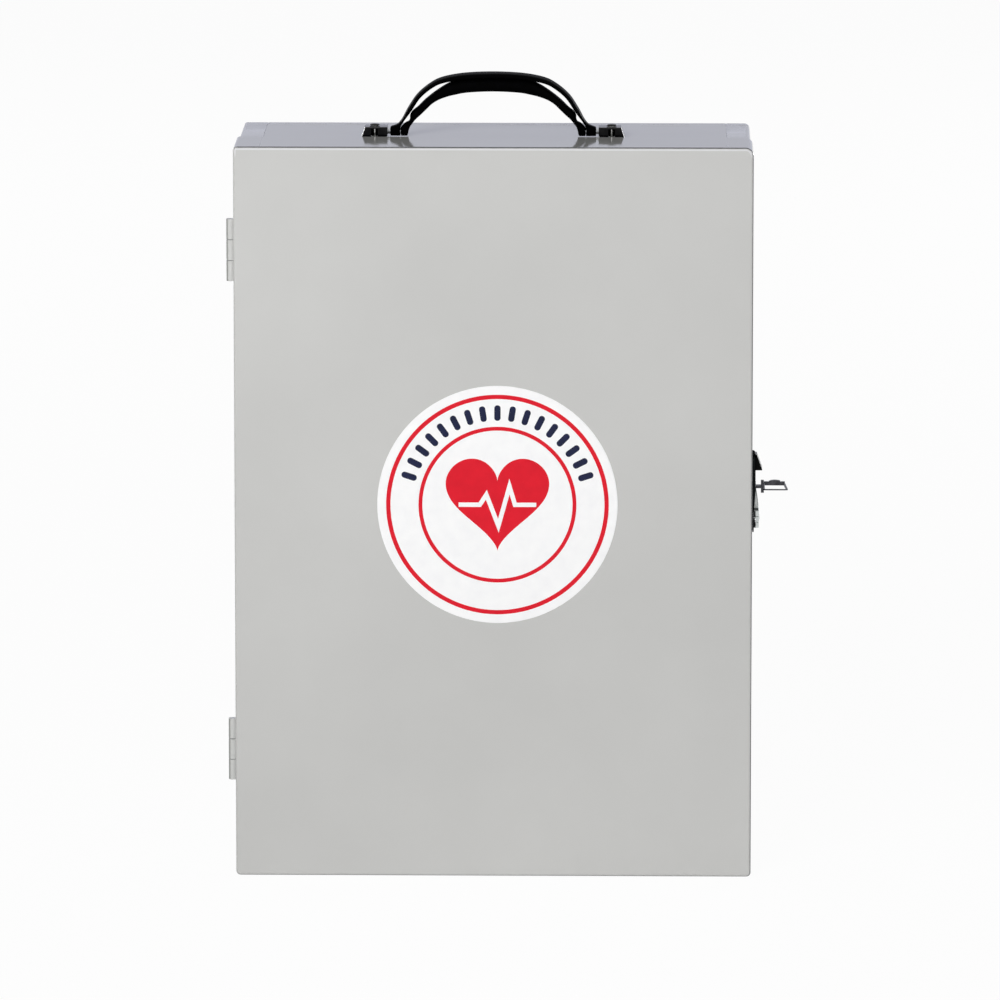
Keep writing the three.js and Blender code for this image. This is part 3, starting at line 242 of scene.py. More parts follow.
def mesh_of(name, *skins, crease=30):
    """One mesh of several skins, smooth but for edges that turn by more than crease degrees."""
    points, corners, counts, uvs = zip(*skins)
    firsts = np.cumsum([0, *map(len, points)])
    corners = np.concatenate([part + first for part, first in zip(corners, firsts)])
    counts = np.concatenate(counts)
    mesh = bpy.data.meshes.new(name)
    mesh.vertices.add(firsts[-1])
    mesh.vertices.foreach_set("co", np.concatenate(points).ravel())
    mesh.loops.add(len(corners))
    mesh.loops.foreach_set("vertex_index", corners.astype(np.int32))
    mesh.polygons.add(len(counts))
    mesh.polygons.foreach_set("loop_start", (np.cumsum(counts) - counts).astype(np.int32))
    mesh.update(calc_edges=True)
    layer = mesh.uv_layers.new(name="Surface")
    layer.data.foreach_set("uv", np.concatenate(uvs).ravel())
    mesh.shade_smooth()
    mesh.set_sharp_from_angle(angle=math.radians(crease))
    return mesh


def in_scene(name, data):
    """A new object of that mesh, lamp or camera, linked into the scene."""
    made = bpy.data.objects.new(name, data)
    bpy.context.scene.collection.objects.link(made)
    return made


def piece(name, mesh, material, body, node):
    """Put a mesh in the scene with its finish, its body and slot, and the node it replaces."""
    made = in_scene(name, mesh)
    mesh.materials.append(material)
    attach(made, body)
    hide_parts(node)
    return made


def merged(node):
    """A copy of a node's solid with its doubles merged and its flat faces joined."""
    solid = bmesh.new()
    solid.from_mesh(frame["nodes"][node].data)
    bmesh.ops.remove_doubles(solid, verts=solid.verts, dist=DOUBLES_WITHIN * MM)
    bmesh.ops.dissolve_limit(
        solid, angle_limit=math.radians(FLAT_WITHIN), verts=solid.verts, edges=solid.edges
    )
    for layer in list(solid.loops.layers.uv):
        solid.loops.layers.uv.remove(layer)
    mesh = bpy.data.meshes.new(node + "_mesh")
    solid.to_mesh(mesh)
    solid.free()
    mesh.shade_smooth()
    return mesh


def finished(node, material, edge):
    """A node's solid with every edge broken by a bevel of that width in millimetres."""
    body = frame["nodes"][node]["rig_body"]
    made = piece(node + "_finished", merged(node), material, body, node)
    bevel = made.modifiers.new("broken_edges", "BEVEL")
    bevel.width = edge * MM
    bevel.segments = 2
    bevel.limit_method = "ANGLE"
    bevel.angle_limit = math.radians(BEVEL_FROM)
    made.modifiers.new("flat_faces", "WEIGHTED_NORMAL")
    return made


def rounded_rectangle(x, z, radii, steps=CORNER_STEPS):
    """Points round a rectangle whose corners are quarter circles of steps + 1 points, starting
    with the top right one and going round by the top left."""
    right, left, top, bottom = x[1], x[0], z[1], z[0]
    r = np.maximum(np.array(radii, float), LEAST_CORNER)
    middles = np.array(
        [
            (right - r[0], top - r[0]),
            (left + r[1], top - r[1]),
            (left + r[2], bottom + r[2]),
            (right - r[3], bottom + r[3]),
        ]
    )
    turn = np.radians(np.arange(4)[:, None] * 90 + np.linspace(0, 90, steps + 1)[None, :])
    arcs = middles[:, None] + r[:, None, None] * np.stack([np.cos(turn), np.sin(turn)], -1)
    return arcs.reshape(-1, 2)


def facing_front(outline, y):
    """An outline (x, z) in millimetres, set upright at a depth y, as points in metres."""
    flat = np.asarray(outline, float)
    return np.stack([flat[:, 0], np.full(len(flat), y), flat[:, 1]], -1) * MM


def unit_circle(count):
    """Points (cos t, sin t) for count even steps of t once round."""
    turn = np.linspace(0, 2 * math.pi, count, endpoint=False)
    return np.stack([np.cos(turn), np.sin(turn)], -1)


def through(stations, count):
    """Points on the smooth curve through the stations. Between neighbours b and c, with a before
    and d after them, it is b + t(c - a)/2 + t2(2a - 5b + 4c - d)/2 + t3(3b - a - 3c + d)/2."""
    stops = np.asarray(stations, float)
    padded = np.vstack([2 * stops[0] - stops[1], stops, 2 * stops[-1] - stops[-2]])
    along = np.linspace(0, len(stops) - 1, count)
    first = np.minimum(along.astype(int), len(stops) - 2)
    t = (along - first)[:, None]
    a, b, c, d = (padded[first + k] for k in range(4))
    return (
        b
        + t * (c - a) / 2
        + t**2 * (2 * a - 5 * b + 4 * c - d) / 2
        + t**3 * (3 * b - a - 3 * c + d) / 2
    )


# Finishes

def linear(code):
    """The linear-light colour of an sRGB hex code."""
    shares = np.array([int(code[i : i + 2], 16) for i in (0, 2, 4)]) / 255
    light = np.where(shares <= 0.04045, shares / 12.92, ((shares + 0.055) / 1.055) ** 2.4)
    return (*light.tolist(), 1.0)


def add(tree, kind, values=(), links=(), **settings):
    """Add a node with its settings, its sockets' values and what feeds its sockets."""
    node = tree.nodes.new(kind)
    for name, value in settings.items():
        setattr(node, name, value)
    for socket, value in dict(values).items():
        node.inputs[socket].default_value = value
    for socket, source in dict(links).items():
        tree.links.new(source, node.inputs[socket])
    return node


def new_finish(name, **sockets):
    """A new material, its node tree and its principled shader with the given socket values."""
    material = bpy.data.materials.new(name)
    material.use_nodes = True
    tree = material.node_tree
    shader = tree.nodes["Principled BSDF"]
    for socket, value in sockets.items():
        shader.inputs[socket.replace("_", " ")].default_value = value
    return material, tree, shader


def mottled(tree, vector, scale, pale, dark, detail=3.0):
    """A colour that drifts between two hex colours with a noise of that scale per metre."""
    noise = add(tree, "ShaderNodeTexNoise", {"Scale": scale, "Detail": detail}, {"Vector": vector})
    ramp = add(tree, "ShaderNodeValToRGB", links={"Fac": noise.outputs["Fac"]})
    for stop, place, code in zip(
        ramp.color_ramp.elements, (NOISE_LOW, NOISE_HIGH), (dark, pale)
    ):
        stop.position = place
        stop.color = linear(code)
    return ramp.outputs["Color"]


def mask_of(tree, *steps):
    """A mask, the product of its steps. Each step gives a number in the finish, where it counts
    as nothing and where it counts as one."""
    mask = None
    for source, nothing, whole in steps:
        step = add(
            tree,
            "ShaderNodeMapRange",
            {"From Min": nothing, "From Max": whole},
            {"Value": source},
        ).outputs["Result"]
        if mask is not None:
            both = {0: mask, 1: step}
            step = add(tree, "ShaderNodeMath", links=both, operation="MULTIPLY").outputs[0]
        mask = step
    return mask


def overlaid(material, colour, *steps):
    """Lay a hex colour over a finish where the mask of the steps is one."""
    tree = material.node_tree
    base = tree.nodes["Principled BSDF"].inputs["Base Color"]
    mix = add(
        tree,
        "ShaderNodeMix",
        {MIX_B: linear(colour)},
        {0: mask_of(tree, *steps), MIX_A: base.links[0].from_socket},
        data_type="RGBA",
    )
    tree.links.new(mix.outputs[MIX_RESULT], base)


def stove_enamel(name, pale, dark, roughness, peel, ior=1.5):
    """Sprayed and stove-baked enamel on sheet steel: an even, hard gloss with a faint orange peel
    of 2.4 mm, slow waves of 140 mm from the sheet under it, and a drift of tone. The peel's
    height is in millimetres."""
    material, tree, shader = new_finish(name, IOR=ior)
    place = add(tree, "ShaderNodeTexCoord").outputs["Object"]
    tone = mottled(tree, place, scale=9, pale=pale, dark=dark)
    tree.links.new(tone, shader.inputs["Base Color"])
    haze = add(tree, "ShaderNodeTexNoise", {"Scale": 35, "Detail": 4}, {"Vector": place})
    gloss = add(
        tree,
        "ShaderNodeMapRange",
        {**FROM_NOISE, "To Min": roughness * 0.85, "To Max": roughness * 1.2},
        {"Value": haze.outputs["Fac"]},
    )
    tree.links.new(gloss.outputs["Result"], shader.inputs["Roughness"])
    waves = add(tree, "ShaderNodeTexNoise", {"Scale": 7, "Detail": 1}, {"Vector": place})
    sheet = add(
        tree,
        "ShaderNodeBump",
        {"Strength": 1.0, "Distance": 0.12 * MM},
        {"Height": waves.outputs["Fac"]},
    )
    orange_peel = add(tree, "ShaderNodeTexNoise", {"Scale": 420, "Detail": 1}, {"Vector": place})
    skin_bump = add(
        tree,
        "ShaderNodeBump",
        {"Strength": 1.0, "Distance": peel * MM},
        {"Height": orange_peel.outputs["Fac"], "Normal": sheet.outputs["Normal"]},
    )
    tree.links.new(skin_bump.outputs["Normal"], shader.inputs["Normal"])
    return material


def body_enamel(name):
    """The glossy pale grey that the door and the case share, with hardly any orange peel."""
    return stove_enamel(name, pale="C7C7C5", dark="C1C1BF", roughness=0.08, peel=0.002)


def door_enamel():
    """The body's enamel on the folded door, with painted shade and a painted highlight. U is the
    share of the door's rings, so both lines follow the bend: a dark line of painted shade over the
    fold, but not down the hinge side, and along the top a pale painted highlight in front of it."""
    material = body_enamel("grey_enamel_painted_fold_shade_and_highlight")
    tree = material.node_tree
    coordinates = add(tree, "ShaderNodeTexCoord").outputs
    here = add(tree, "ShaderNodeSeparateXYZ", links={"Vector": coordinates["Object"]})
    around = add(tree, "ShaderNodeSeparateXYZ", links={"Vector": coordinates["UV"]})
    share = around.outputs["X"]
    # Painted shade along the fold and a painted highlight along the top
    for colour, (start, end), axis, (begins, whole) in (
        ("4E4F53", FOLD_PAINTED_SHADE, "X", OFF_THE_HINGE_SIDE),
        ("DADADC", FOLD_PAINTED_HIGHLIGHT, "Z", DOOR_TOP),
    ):
        overlaid(
            material,
            colour,
            (here.outputs[axis], begins * MM, whole * MM),
            (share, start - FOLD_SOFT, start),
            (share, end + FOLD_SOFT, end),
        )
    return material


def case_enamel():
    """The body's enamel, with a shallow broken bead pressed 8.5 mm in front of the top rear edge,
    whose slopes glint where it is high."""
    material = body_enamel("stove_baked_grey_enamel")
    tree = material.node_tree
    place = add(tree, "ShaderNodeTexCoord").outputs["Object"]
    here = add(tree, "ShaderNodeSeparateXYZ", links={"Vector": place})
    patches = add(
        tree,
        "ShaderNodeTexNoise",
        {"Scale": BEAD_PATCHES_PER_METRE, "Detail": 1},
        {"W": here.outputs["X"]},
        noise_dimensions="1D",
    )
    y = here.outputs["Y"]
    height = mask_of(
        tree,
        (here.outputs["Z"], CASE_TOP[0] * MM, CASE_TOP[1] * MM),
        (y, (BEAD_Y[0] - BEAD_SLOPE) * MM, BEAD_Y[0] * MM),
        (y, (BEAD_Y[1] + BEAD_SLOPE) * MM, BEAD_Y[1] * MM),
        (patches.outputs["Fac"], *BEAD_PATCH),
    )
    normal = tree.nodes["Principled BSDF"].inputs["Normal"]
    bump = add(
        tree,
        "ShaderNodeBump",
        {"Strength": 1.0, "Distance": BEAD_HEIGHT * MM},
        {"Height": height, "Normal": normal.links[0].from_socket},
    )
    tree.links.new(bump.outputs["Normal"], normal)
    return material


def hinge_enamel_with_painted_shade():
    """A paler, half matt enamel on the hinges, with painted shade, dull and dark, along the side of
    the barrels that stands out furthest, so that they end in a soft grey line."""
    material = stove_enamel(
        "grey_enamel_over_hinges", pale="D6D6D4", dark="CACBC9", roughness=0.26, peel=0.006
    )
    tree = material.node_tree
    place = add(tree, "ShaderNodeTexCoord").outputs["Object"]
    here = add(tree, "ShaderNodeSeparateXYZ", links={"Vector": place})
    # Painted shade down the barrels' outer side
    overlaid(material, "8E908C", (here.outputs["X"], BARREL_PAINTED_SHADE[0] * MM, BARREL_PAINTED_SHADE[1] * MM))
    return material


def plated_steel(name, pale, dark, roughness, drawn):
    """Plated steel: a bright skin over fine drawing marks, whose stretch along x, y and z is given
    in millimetres, with a cloudy change of tone and gloss where it has been handled."""
    material, tree, shader = new_finish(name, Metallic=1.0)
    place = add(tree, "ShaderNodeTexCoord").outputs["Object"]
    tone = mottled(tree, place, scale=260, pale=pale, dark=dark, detail=4)
    tree.links.new(tone, shader.inputs["Base Color"])
    clouds = add(tree, "ShaderNodeTexNoise", {"Scale": 340, "Detail": 5}, {"Vector": place})
    gloss = add(
        tree,
        "ShaderNodeMapRange",
        {**FROM_NOISE, "To Min": roughness * 0.7, "To Max": roughness * 1.4},
        {"Value": clouds.outputs["Fac"]},
    )
    tree.links.new(gloss.outputs["Result"], shader.inputs["Roughness"])
    stretched = add(
        tree,
        "ShaderNodeMapping",
        {"Scale": tuple(1 / (length * MM) for length in drawn)},
        {"Vector": place},
    )
    marks = add(
        tree,
        "ShaderNodeTexNoise",
        {"Scale": 1, "Detail": 3},
        {"Vector": stretched.outputs["Vector"]},
    )
    bump = add(
        tree,
        "ShaderNodeBump",
        {"Strength": 1.0, "Distance": 0.006 * MM},
        {"Height": marks.outputs["Fac"]},
    )
    tree.links.new(bump.outputs["Normal"], shader.inputs["Normal"])
    return material


def nickel_with_painted_shade(name, painted_shade_up_to, lean=0.0, **plating):
    """Nickel plate with painted shade near the box, so that the pressing's sides sink into the
    dark.
    The painted shade is black where x - lean z lies under a reach in millimetres."""
    material = plated_steel(name, **plating)
    tree = material.node_tree
    place = add(tree, "ShaderNodeTexCoord").outputs["Object"]
    reach = add(
        tree, "ShaderNodeVectorMath", {1: (1, 0, -lean)}, {0: place}, operation="DOT_PRODUCT"
    )
    nickel_from = (painted_shade_up_to + PAINTED_SHADE_SOFT) * MM
    # Painted shade over the nickel near the box
    overlaid(material, "17191A", (reach.outputs["Value"], nickel_from, painted_shade_up_to * MM))
    return material


def moulded_pvc():
    """Black moulded PVC: a deep dull black with a leather grain of about 0.9 mm and rubbed
    lengthwise marks of 18 by 0.9 mm that follow the strand, which give it broken soft glints."""
    strand_length, strand_girth, mark_length, mark_width = 160, 38, 18, 0.9
    material, tree, shader = new_finish("moulded_black_pvc", IOR=1.53, Specular_IOR_Level=0.01)
    coordinates = add(tree, "ShaderNodeTexCoord").outputs
    place = coordinates["Object"]
    tone = mottled(tree, place, scale=300, pale="040405", dark="020202")
    tree.links.new(tone, shader.inputs["Base Color"])
    lengthwise = add(
        tree,
        "ShaderNodeMapping",
        {"Scale": (strand_length / mark_length, strand_girth / mark_width, 1)},
        {"Vector": coordinates["UV"]},
    )
    rubs = add(
        tree,
        "ShaderNodeTexNoise",
        {"Scale": 1, "Detail": 4},
        {"Vector": lengthwise.outputs["Vector"]},
    )
    gloss = add(
        tree,
        "ShaderNodeMapRange",
        {**FROM_NOISE, "To Min": 0.34, "To Max": 0.62},
        {"Value": rubs.outputs["Fac"]},
    )
    tree.links.new(gloss.outputs["Result"], shader.inputs["Roughness"])
    grain = add(
        tree,
        "ShaderNodeTexVoronoi",
        {"Scale": 1100},
        {"Vector": place},
        feature="SMOOTH_F1",
    )
    grain_bump = add(
        tree,
        "ShaderNodeBump",
        {"Strength": 0.7, "Distance": 0.03 * MM},
        {"Height": grain.outputs["Distance"]},
    )
    rub_bump = add(
        tree,
        "ShaderNodeBump",
        {"Strength": 0.8, "Distance": 0.05 * MM},
        {"Height": rubs.outputs["Fac"], "Normal": grain_bump.outputs["Normal"]},
    )
    tree.links.new(rub_bump.outputs["Normal"], shader.inputs["Normal"])
    return material


def vinyl_film(name, pale, dark, roughness):
    """Printed vinyl film: a satin, slightly uneven face with an emboss of 0.7 mm, coarser than a
    real film's so that it shows, and a trace of tone where the ink lies thinner."""
    material, tree, shader = new_finish(name, IOR=1.5, Specular_IOR_Level=0.25)
    place = add(tree, "ShaderNodeTexCoord").outputs["Object"]
    tone = mottled(tree, place, scale=160, pale=pale, dark=dark, detail=5)
    tree.links.new(tone, shader.inputs["Base Color"])
    emboss = add(tree, "ShaderNodeTexNoise", {"Scale": 1400, "Detail": 2}, {"Vector": place})
    gloss = add(
        tree,
        "ShaderNodeMapRange",
        {**FROM_NOISE, "To Min": roughness * 0.9, "To Max": roughness * 1.15},
        {"Value": emboss.outputs["Fac"]},
    )
    tree.links.new(gloss.outputs["Result"], shader.inputs["Roughness"])
    bump = add(
        tree,
        "ShaderNodeBump",
        {"Strength": 0.5, "Distance": 0.006 * MM},
        {"Height": emboss.outputs["Fac"]},
    )
    tree.links.new(bump.outputs["Normal"], shader.inputs["Normal"])
    return material


# The case's grey without its gloss, so that the inside looks softer
shelf_enamel = stove_enamel(
    "satin_grey_shelf_enamel", pale="C4C4C2", dark="BDBEBC", roughness=0.32, peel=0.005
)
hinge_enamel = hinge_enamel_with_painted_shade()

# Two blacks with a low index, so that only lamps glint in them: a hard gloss and a softer one
foot_enamel = stove_enamel(
    "gloss_black_enamel", pale="0B0B0D", dark="050506", roughness=0.1, peel=0.003, ior=1.22
)
button_enamel = stove_enamel(
    "black_lacquered_button", pale="0B0B0C", dark="050505", roughness=0.22, peel=0.004, ior=1.15
)
pvc = moulded_pvc()

# The label: a white that stays just short of clipping, and flat, solid inks on it
white_vinyl = vinyl_film("satin_white_vinyl", pale="FBFBFB", dark="F6F6F7", roughness=0.42)
red_ink = vinyl_film("screen_printed_red_ink", pale="E0182C", dark="D71529", roughness=0.38)
navy_ink = vinyl_film("screen_printed_navy_ink", pale="171D40", dark="121733", roughness=0.38)
white_ink = vinyl_film("screen_printed_white_ink", pale="FBFBFB", dark="F6F6F7", roughness=0.4)

# Plated hardware: dull bluish zinc, brighter nickel, black rivets and the key's worn grey
zinc = plated_steel(
    "zinc_plated_steel", pale="B4B6B8", dark="9A9CA0", roughness=0.3, drawn=(0.4, 0.4, 5)
)
rivet_nickel = plated_steel(
    "nickel_plated_rivets", pale="D6D6D4", dark="BDBDBB", roughness=0.2, drawn=(0.5, 0.5, 0.5)
)
black_rivets = plated_steel(
    "blackened_rivets", pale="1C1D1E", dark="121314", roughness=0.35, drawn=(0.5, 0.5, 0.5)
)
lock_nickel = plated_steel(
    "nickel_plated_lock_steel", pale="B9BBBA", dark="9FA2A1", roughness=0.3, drawn=(0.5, 0.5, 8)
)
key_steel = plated_steel(
    "worn_plated_key_steel", pale="5C5C60", dark="3C3C40", roughness=0.4, drawn=(6, 0.4, 0.4)
)
# The hasp: nickel with painted shade near the box
hasp_finish = nickel_with_painted_shade(
    "nickel_with_painted_shade_on_hasp",
    HASP_PAINTED_SHADE_UP_TO,
    pale="CBCFCE",
    dark="B9BDBC",
    roughness=0.22,
    drawn=(0.5, 6, 0.5),
)

# The lock's painted shade also reaches up towards its top, and the dark tint keeps its rim from
# turning bright in a slanting view
lock_finish = nickel_with_painted_shade(
    "nickel_with_painted_shade_on_lock",
    LOCK_PAINTED_SHADE_UP_TO,
    lean=LOCK_PAINTED_SHADE_LEAN,
    pale="B9BBBA",
    dark="9FA2A1",
    roughness=0.3,
    drawn=(0.5, 0.5, 8),
)
lock_shader = lock_finish.node_tree.nodes["Principled BSDF"]
lock_shader.inputs["Specular Tint"].default_value = linear("303030")

# Pieces that keep their solid's shape: the finish, the width of the broken edges, the nodes
SOLIDS = [
    (shelf_enamel, 0.3, ["shelf_1", "shelf_2"]),
    (hinge_enamel, 0.12, [hinge + leaf for hinge in HINGES for leaf in ("case_leaf", "door_leaf")]),
    (zinc, 0.2, [hinge + "pin" for hinge in HINGES]),
    (zinc, 0.2, ["handle_pin_" + side for side in SIDES]),
    (zinc, 0.1, ["handle_washer_" + side for side in SIDES]),
    (foot_enamel, 0.2, ["handle_foot_" + side for side in SIDES]),
    (lock_finish, 0.15, ["lock_case"]),
    (lock_nickel, 0.12, ["lock_back_plate", "lock_housing", "lock_plug", "lock_cam"]),
    (zinc, 0.1, ["cam_screw", "slide_plate", "hasp_pin"]),
    (hasp_finish, 0.15, ["hasp", "hasp_plate"]),
    (key_steel, 0.12, ["key"]),
]
for finish, edge, nodes in SOLIDS:
    for node in nodes:
        finished(node, finish, edge)


def pressed_button():
    """The wedge button, with its back plane moved to just clear of the lock's face."""
    button = finished("slide_button", button_enamel, edge=0.15)
    places = np.empty(3 * len(button.data.vertices))
    button.data.vertices.foreach_get("co", places)
    x = places[::3]
    back = BUTTON_BACK * MM
    x[np.abs(x - back) < BUTTON_BACK_WITHIN * MM] = back - BUTTON_DRAWN_IN * MM
    button.data.vertices.foreach_set("co", places)


def slide_coil():
    """The slide's spring, in zinc on a mesh of its own."""
    node = "slide_spring"
    coil = piece("slide_coil", merged(node), zinc, "case", node)
    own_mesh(coil)


pressed_button()
slide_coil()

# Case body: its folds stay smooth and its cut edges crisp
case_mesh = merged("case_body")
case_mesh.set_sharp_from_angle(angle=math.radians(CASE_CREASE))
case_shell = piece("case_shell", case_mesh, case_enamel(), "case", "case_body")
flat_panels = case_shell.modifiers.new("flat_panels", "WEIGHTED_NORMAL")
flat_panels.keep_sharp = True


# Door

def door_ring(inset, y, groove):
    """The door's outline drawn in by an inset, with the two fold seams sunk by a share."""
    low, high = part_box("door_shell")
    x = (low.x / MM + inset, high.x / MM - inset)
    z = (low.z / MM + inset, high.z / MM - inset)
    outline = rounded_rectangle(x, z, [radius - inset for radius in DOOR_CORNERS])
    half = FOLD_SEAM_WIDTH / 2
    across = half * np.array([1, FOLD_SEAM_FLOOR, -FOLD_SEAM_FLOOR, -1])
    sunk = np.array([0, 1, 1, 0]) * groove * FOLD_SEAM_DEPTH
    seams = np.concatenate(
        [np.stack([middle + across, z[1] - sunk], -1) for middle in (FOLD_SEAM_X, -FOLD_SEAM_X)]
    )
    top_right, others = outline[: CORNER_STEPS + 1], outline[CORNER_STEPS + 1 :]
    return facing_front(np.concatenate([top_right, seams, others]), y)


def door_skin():
    """The folded sheet. Round the outer bend the outline is drawn in by B(1 - sin t) and stands
    B(1 - cos t) behind the front, for t from 0 to 90 degrees, then it runs straight back to the
    seam, and the same profile one sheet inwards leads back to the front."""
    low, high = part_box("door_shell")
    front, seam = low.y / MM, high.y / MM
    t = np.radians(np.linspace(0, 90, BEND_POINTS))

    def flat_and_bend(inset, face, bend):
        """Stations of the flat front and the bend, for a face drawn in by an inset."""
        flat = [(FRONT_RING, face, 0), (DOOR_BEND + BEND_MARGIN, face, 0)]
        arc = [(inset + bend * (1 - math.sin(a)), face + bend * (1 - math.cos(a)), 0) for a in t]
        return flat + arc

    cut = seam - CUT_EDGE_BREAK
    outside = flat_and_bend(0, front, DOOR_BEND)
    outside += [(0, front + DOOR_BEND + FOLD_SEAM_START, 1), (0, cut, 1), (CUT_EDGE_BREAK, seam, 1)]
    inside = flat_and_bend(SHEET, front + SHEET, DOOR_BEND - SHEET)
    inside += [(SHEET, cut, 0), (SHEET - CUT_EDGE_BREAK, seam, 0)]
    return skin(np.stack([door_ring(*station) for station in outside + inside[::-1]]))


piece("door_skin", mesh_of("door", door_skin()), door_enamel(), "door", "door_shell")


# Label: the vinyl disc and its print, each a thin film just proud of what it lies on

def on_label(outline):
    """An outline about the label's middle, in millimetres, moved to the label's place."""
    return np.asarray(outline, float) + np.array(LABEL_CENTRE)


def film(outline, back=LABEL_FRONT + INK_SUNK):
    """A film of that outline between its back and a front one ink's thickness nearer."""
    depths = (back, back - INK_THICKNESS)
    return skin(np.stack([facing_front(on_label(outline), y) for y in depths]))


def ring_film(radii):
    """A flat ring: its section, from the inner to the outer radius, carried once round."""
    back = LABEL_FRONT + INK_SUNK
    front = back - INK_THICKNESS
    section = [(radii[0], back), (radii[1], back), (radii[1], front), (radii[0], front)]
    circle = unit_circle(PRINT_POINTS)
    rings = [facing_front(on_label(radius * circle), y) for radius, y in section]
    return skin(np.stack(rings), closed=True)


def disc_film():
    """The vinyl disc: its edge falls away over the last 0.2 mm of its radius."""
    low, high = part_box("door_label")
    radius = (high.x - low.x) / 2 / MM
    stations = [(radius, high.y / MM)]
    stations += [(radius - inset, low.y / MM + drop) for inset, drop in DISC_RIM]
    circle = unit_circle(DISC_POINTS)
    return skin(np.stack([facing_front(on_label(r * circle), y) for r, y in stations]))


def heart_outline():
    """A heart: x = 16 sin3 t and z = 13 cos t - 5 cos 2t - 2 cos 3t - cos 4t, scaled to width."""
    t = np.linspace(0, 2 * math.pi, PRINT_POINTS, endpoint=False)
    x = 16 * np.sin(t) ** 3
    z = 13 * np.cos(t) - 5 * np.cos(2 * t) - 2 * np.cos(3 * t) - np.cos(4 * t)
    return np.stack([x, z + HEART_LIFT], -1) * HEART_WIDTH / (2 * 16)


def ribbon_outline(points, width):
    """A line of that width: each point moves both ways along the mitre of its two neighbours'
    normals, by half the width over one plus their dot product, times their sum."""
    path = np.asarray(points, float)
    along = np.diff(path, axis=0)
    normals = np.stack([-along[:, 1], along[:, 0]], -1)
    normals /= np.linalg.norm(normals, axis=1)[:, None]
    before = np.vstack([normals[:1], normals])
    after = np.vstack([normals, normals[-1:]])
    mitre = (before + after) / (1 + np.einsum("ij,ij->i", before, after))[:, None]
    return np.concatenate([path + mitre * width / 2, (path - mitre * width / 2)[::-1]])


def tick_outlines():
    """Rounded bars that stand round the upper half of the band between the rings."""
    across, along = TICK_SIZE
    bar = rounded_rectangle(
        (-across / 2, across / 2),
        (TICK_RADIUS - along / 2, TICK_RADIUS + along / 2),
        [across / 2 - TICK_FLAT_END] * 4,
        steps=TICK_CORNER_STEPS,
    )
    angles = np.radians(np.linspace(-TICK_LAST_ANGLE, TICK_LAST_ANGLE, TICK_COUNT))
    turns = np.array([[np.cos(angles), -np.sin(angles)], [np.sin(angles), np.cos(angles)]])
    return [bar @ turn for turn in np.moveaxis(turns, -1, 0)]


def print_piece(name, material, *skins):
    """One ink of the label's print."""
    piece(name, mesh_of(name, *skins), material, "door", "door_label")


print_piece("label_disc", white_vinyl, disc_film())
print_piece("label_rings", red_ink, ring_film(OUTER_RING), ring_film(INNER_RING))
print_piece("label_heart", red_ink, film(heart_outline()))
print_piece(
    "label_pulse",
    white_ink,
    film(ribbon_outline(PULSE_LINE, PULSE_WIDTH), back=LABEL_FRONT - 0.5 * INK_THICKNESS),
)
print_piece("label_ticks", navy_ink, *[film(outline) for outline in tick_outlines()])


# Handle

def strand(stations, squareness):
    """A strand skinned over superellipses. Its half stations are mirrored, and between each upper
    and lower edge point the section is cos t and sin t, each raised to 2 / squareness. Its half
    width is the neck's half circle below the pivot, the neck's own above it, and then grows with
    height to the full one."""
    half = np.asarray(stations, float)
    mirrored = half[:0:-1] * np.array([-1, 1, -1, 1])
    edges = through(np.vstack([mirrored, half]), STRAND_RINGS)
    low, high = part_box("handle_strap")
    scale = np.array([(high.x - low.x) / 2 / MM, HANDLE_RISE])
    upper, lower = edges[:, None, :2] * scale, edges[:, None, 2:] * scale
    circle = unit_circle(STRAND_SIDES)
    up, out = (np.sign(circle) * np.abs(circle) ** (2 / squareness)).T
    flat = (upper + lower) / 2 + up[None, :, None] * (upper - lower) / 2
    above = flat[..., 1] - PIVOT_HEIGHT
    square = NECK_HALF_WIDTH**2 - np.minimum(above, 0) ** 2
    below_axis = np.sqrt(np.maximum(square, TOE_LEAST_HALF_WIDTH**2))
    limit = below_axis + np.maximum(above - NECK_HALF_WIDTH, 0) / NECK_SLOPE
    wide = out[None, :] * np.minimum(limit, HANDLE_HALF_WIDTH)
    middle_x, middle_y = (low.x + high.x) / 2, (low.y + high.y) / 2
    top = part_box("case_body")[1].z
    return skin(
        np.stack([middle_x + flat[..., 0] * MM, middle_y + wide * MM, top + flat[..., 1] * MM], -1)
    )


for node, stations, squareness in (
    ("handle_grip", GRIP_STATIONS, GRIP_SQUARENESS),
    ("handle_strap", STRAP_STATIONS, STRAP_SQUARENESS),
):
    name = node + "_moulding"
    mesh = mesh_of(name, strand(stations, squareness), crease=HANDLE_CREASE)
    piece(name, mesh, pvc, "handle", node)


# Rivets

def turned(profile, axis, foot):
    """A turned solid: each profile point (radius, height) carried once round the axis."""
    radius, height = np.asarray(profile, float).T[:, :, None] * MM
    cosine, sine = unit_circle(RIVET_SIDES).T[:, None, :]
    across, aside, along = radius * cosine, radius * sine, height + 0 * cosine
    rings = [along, across, aside] if axis == "x" else [across, aside, along]
    return skin(np.stack(rings, -1) + np.array(foot))


def dome(radius, base, height):
    """The profile of a domed head: an edge of a sixth of its height, then a quarter ellipse."""
    t = np.radians(np.linspace(0, DOME_LAST_ANGLE, DOME_POINTS))
    edge = base + height / 6
    arc = [(radius * math.cos(a), edge + height * 5 / 6 * math.sin(a)) for a in t]
    return [(radius - HEAD_UNDERCUT, base), *arc, (RIVET_CORE, base + height)]


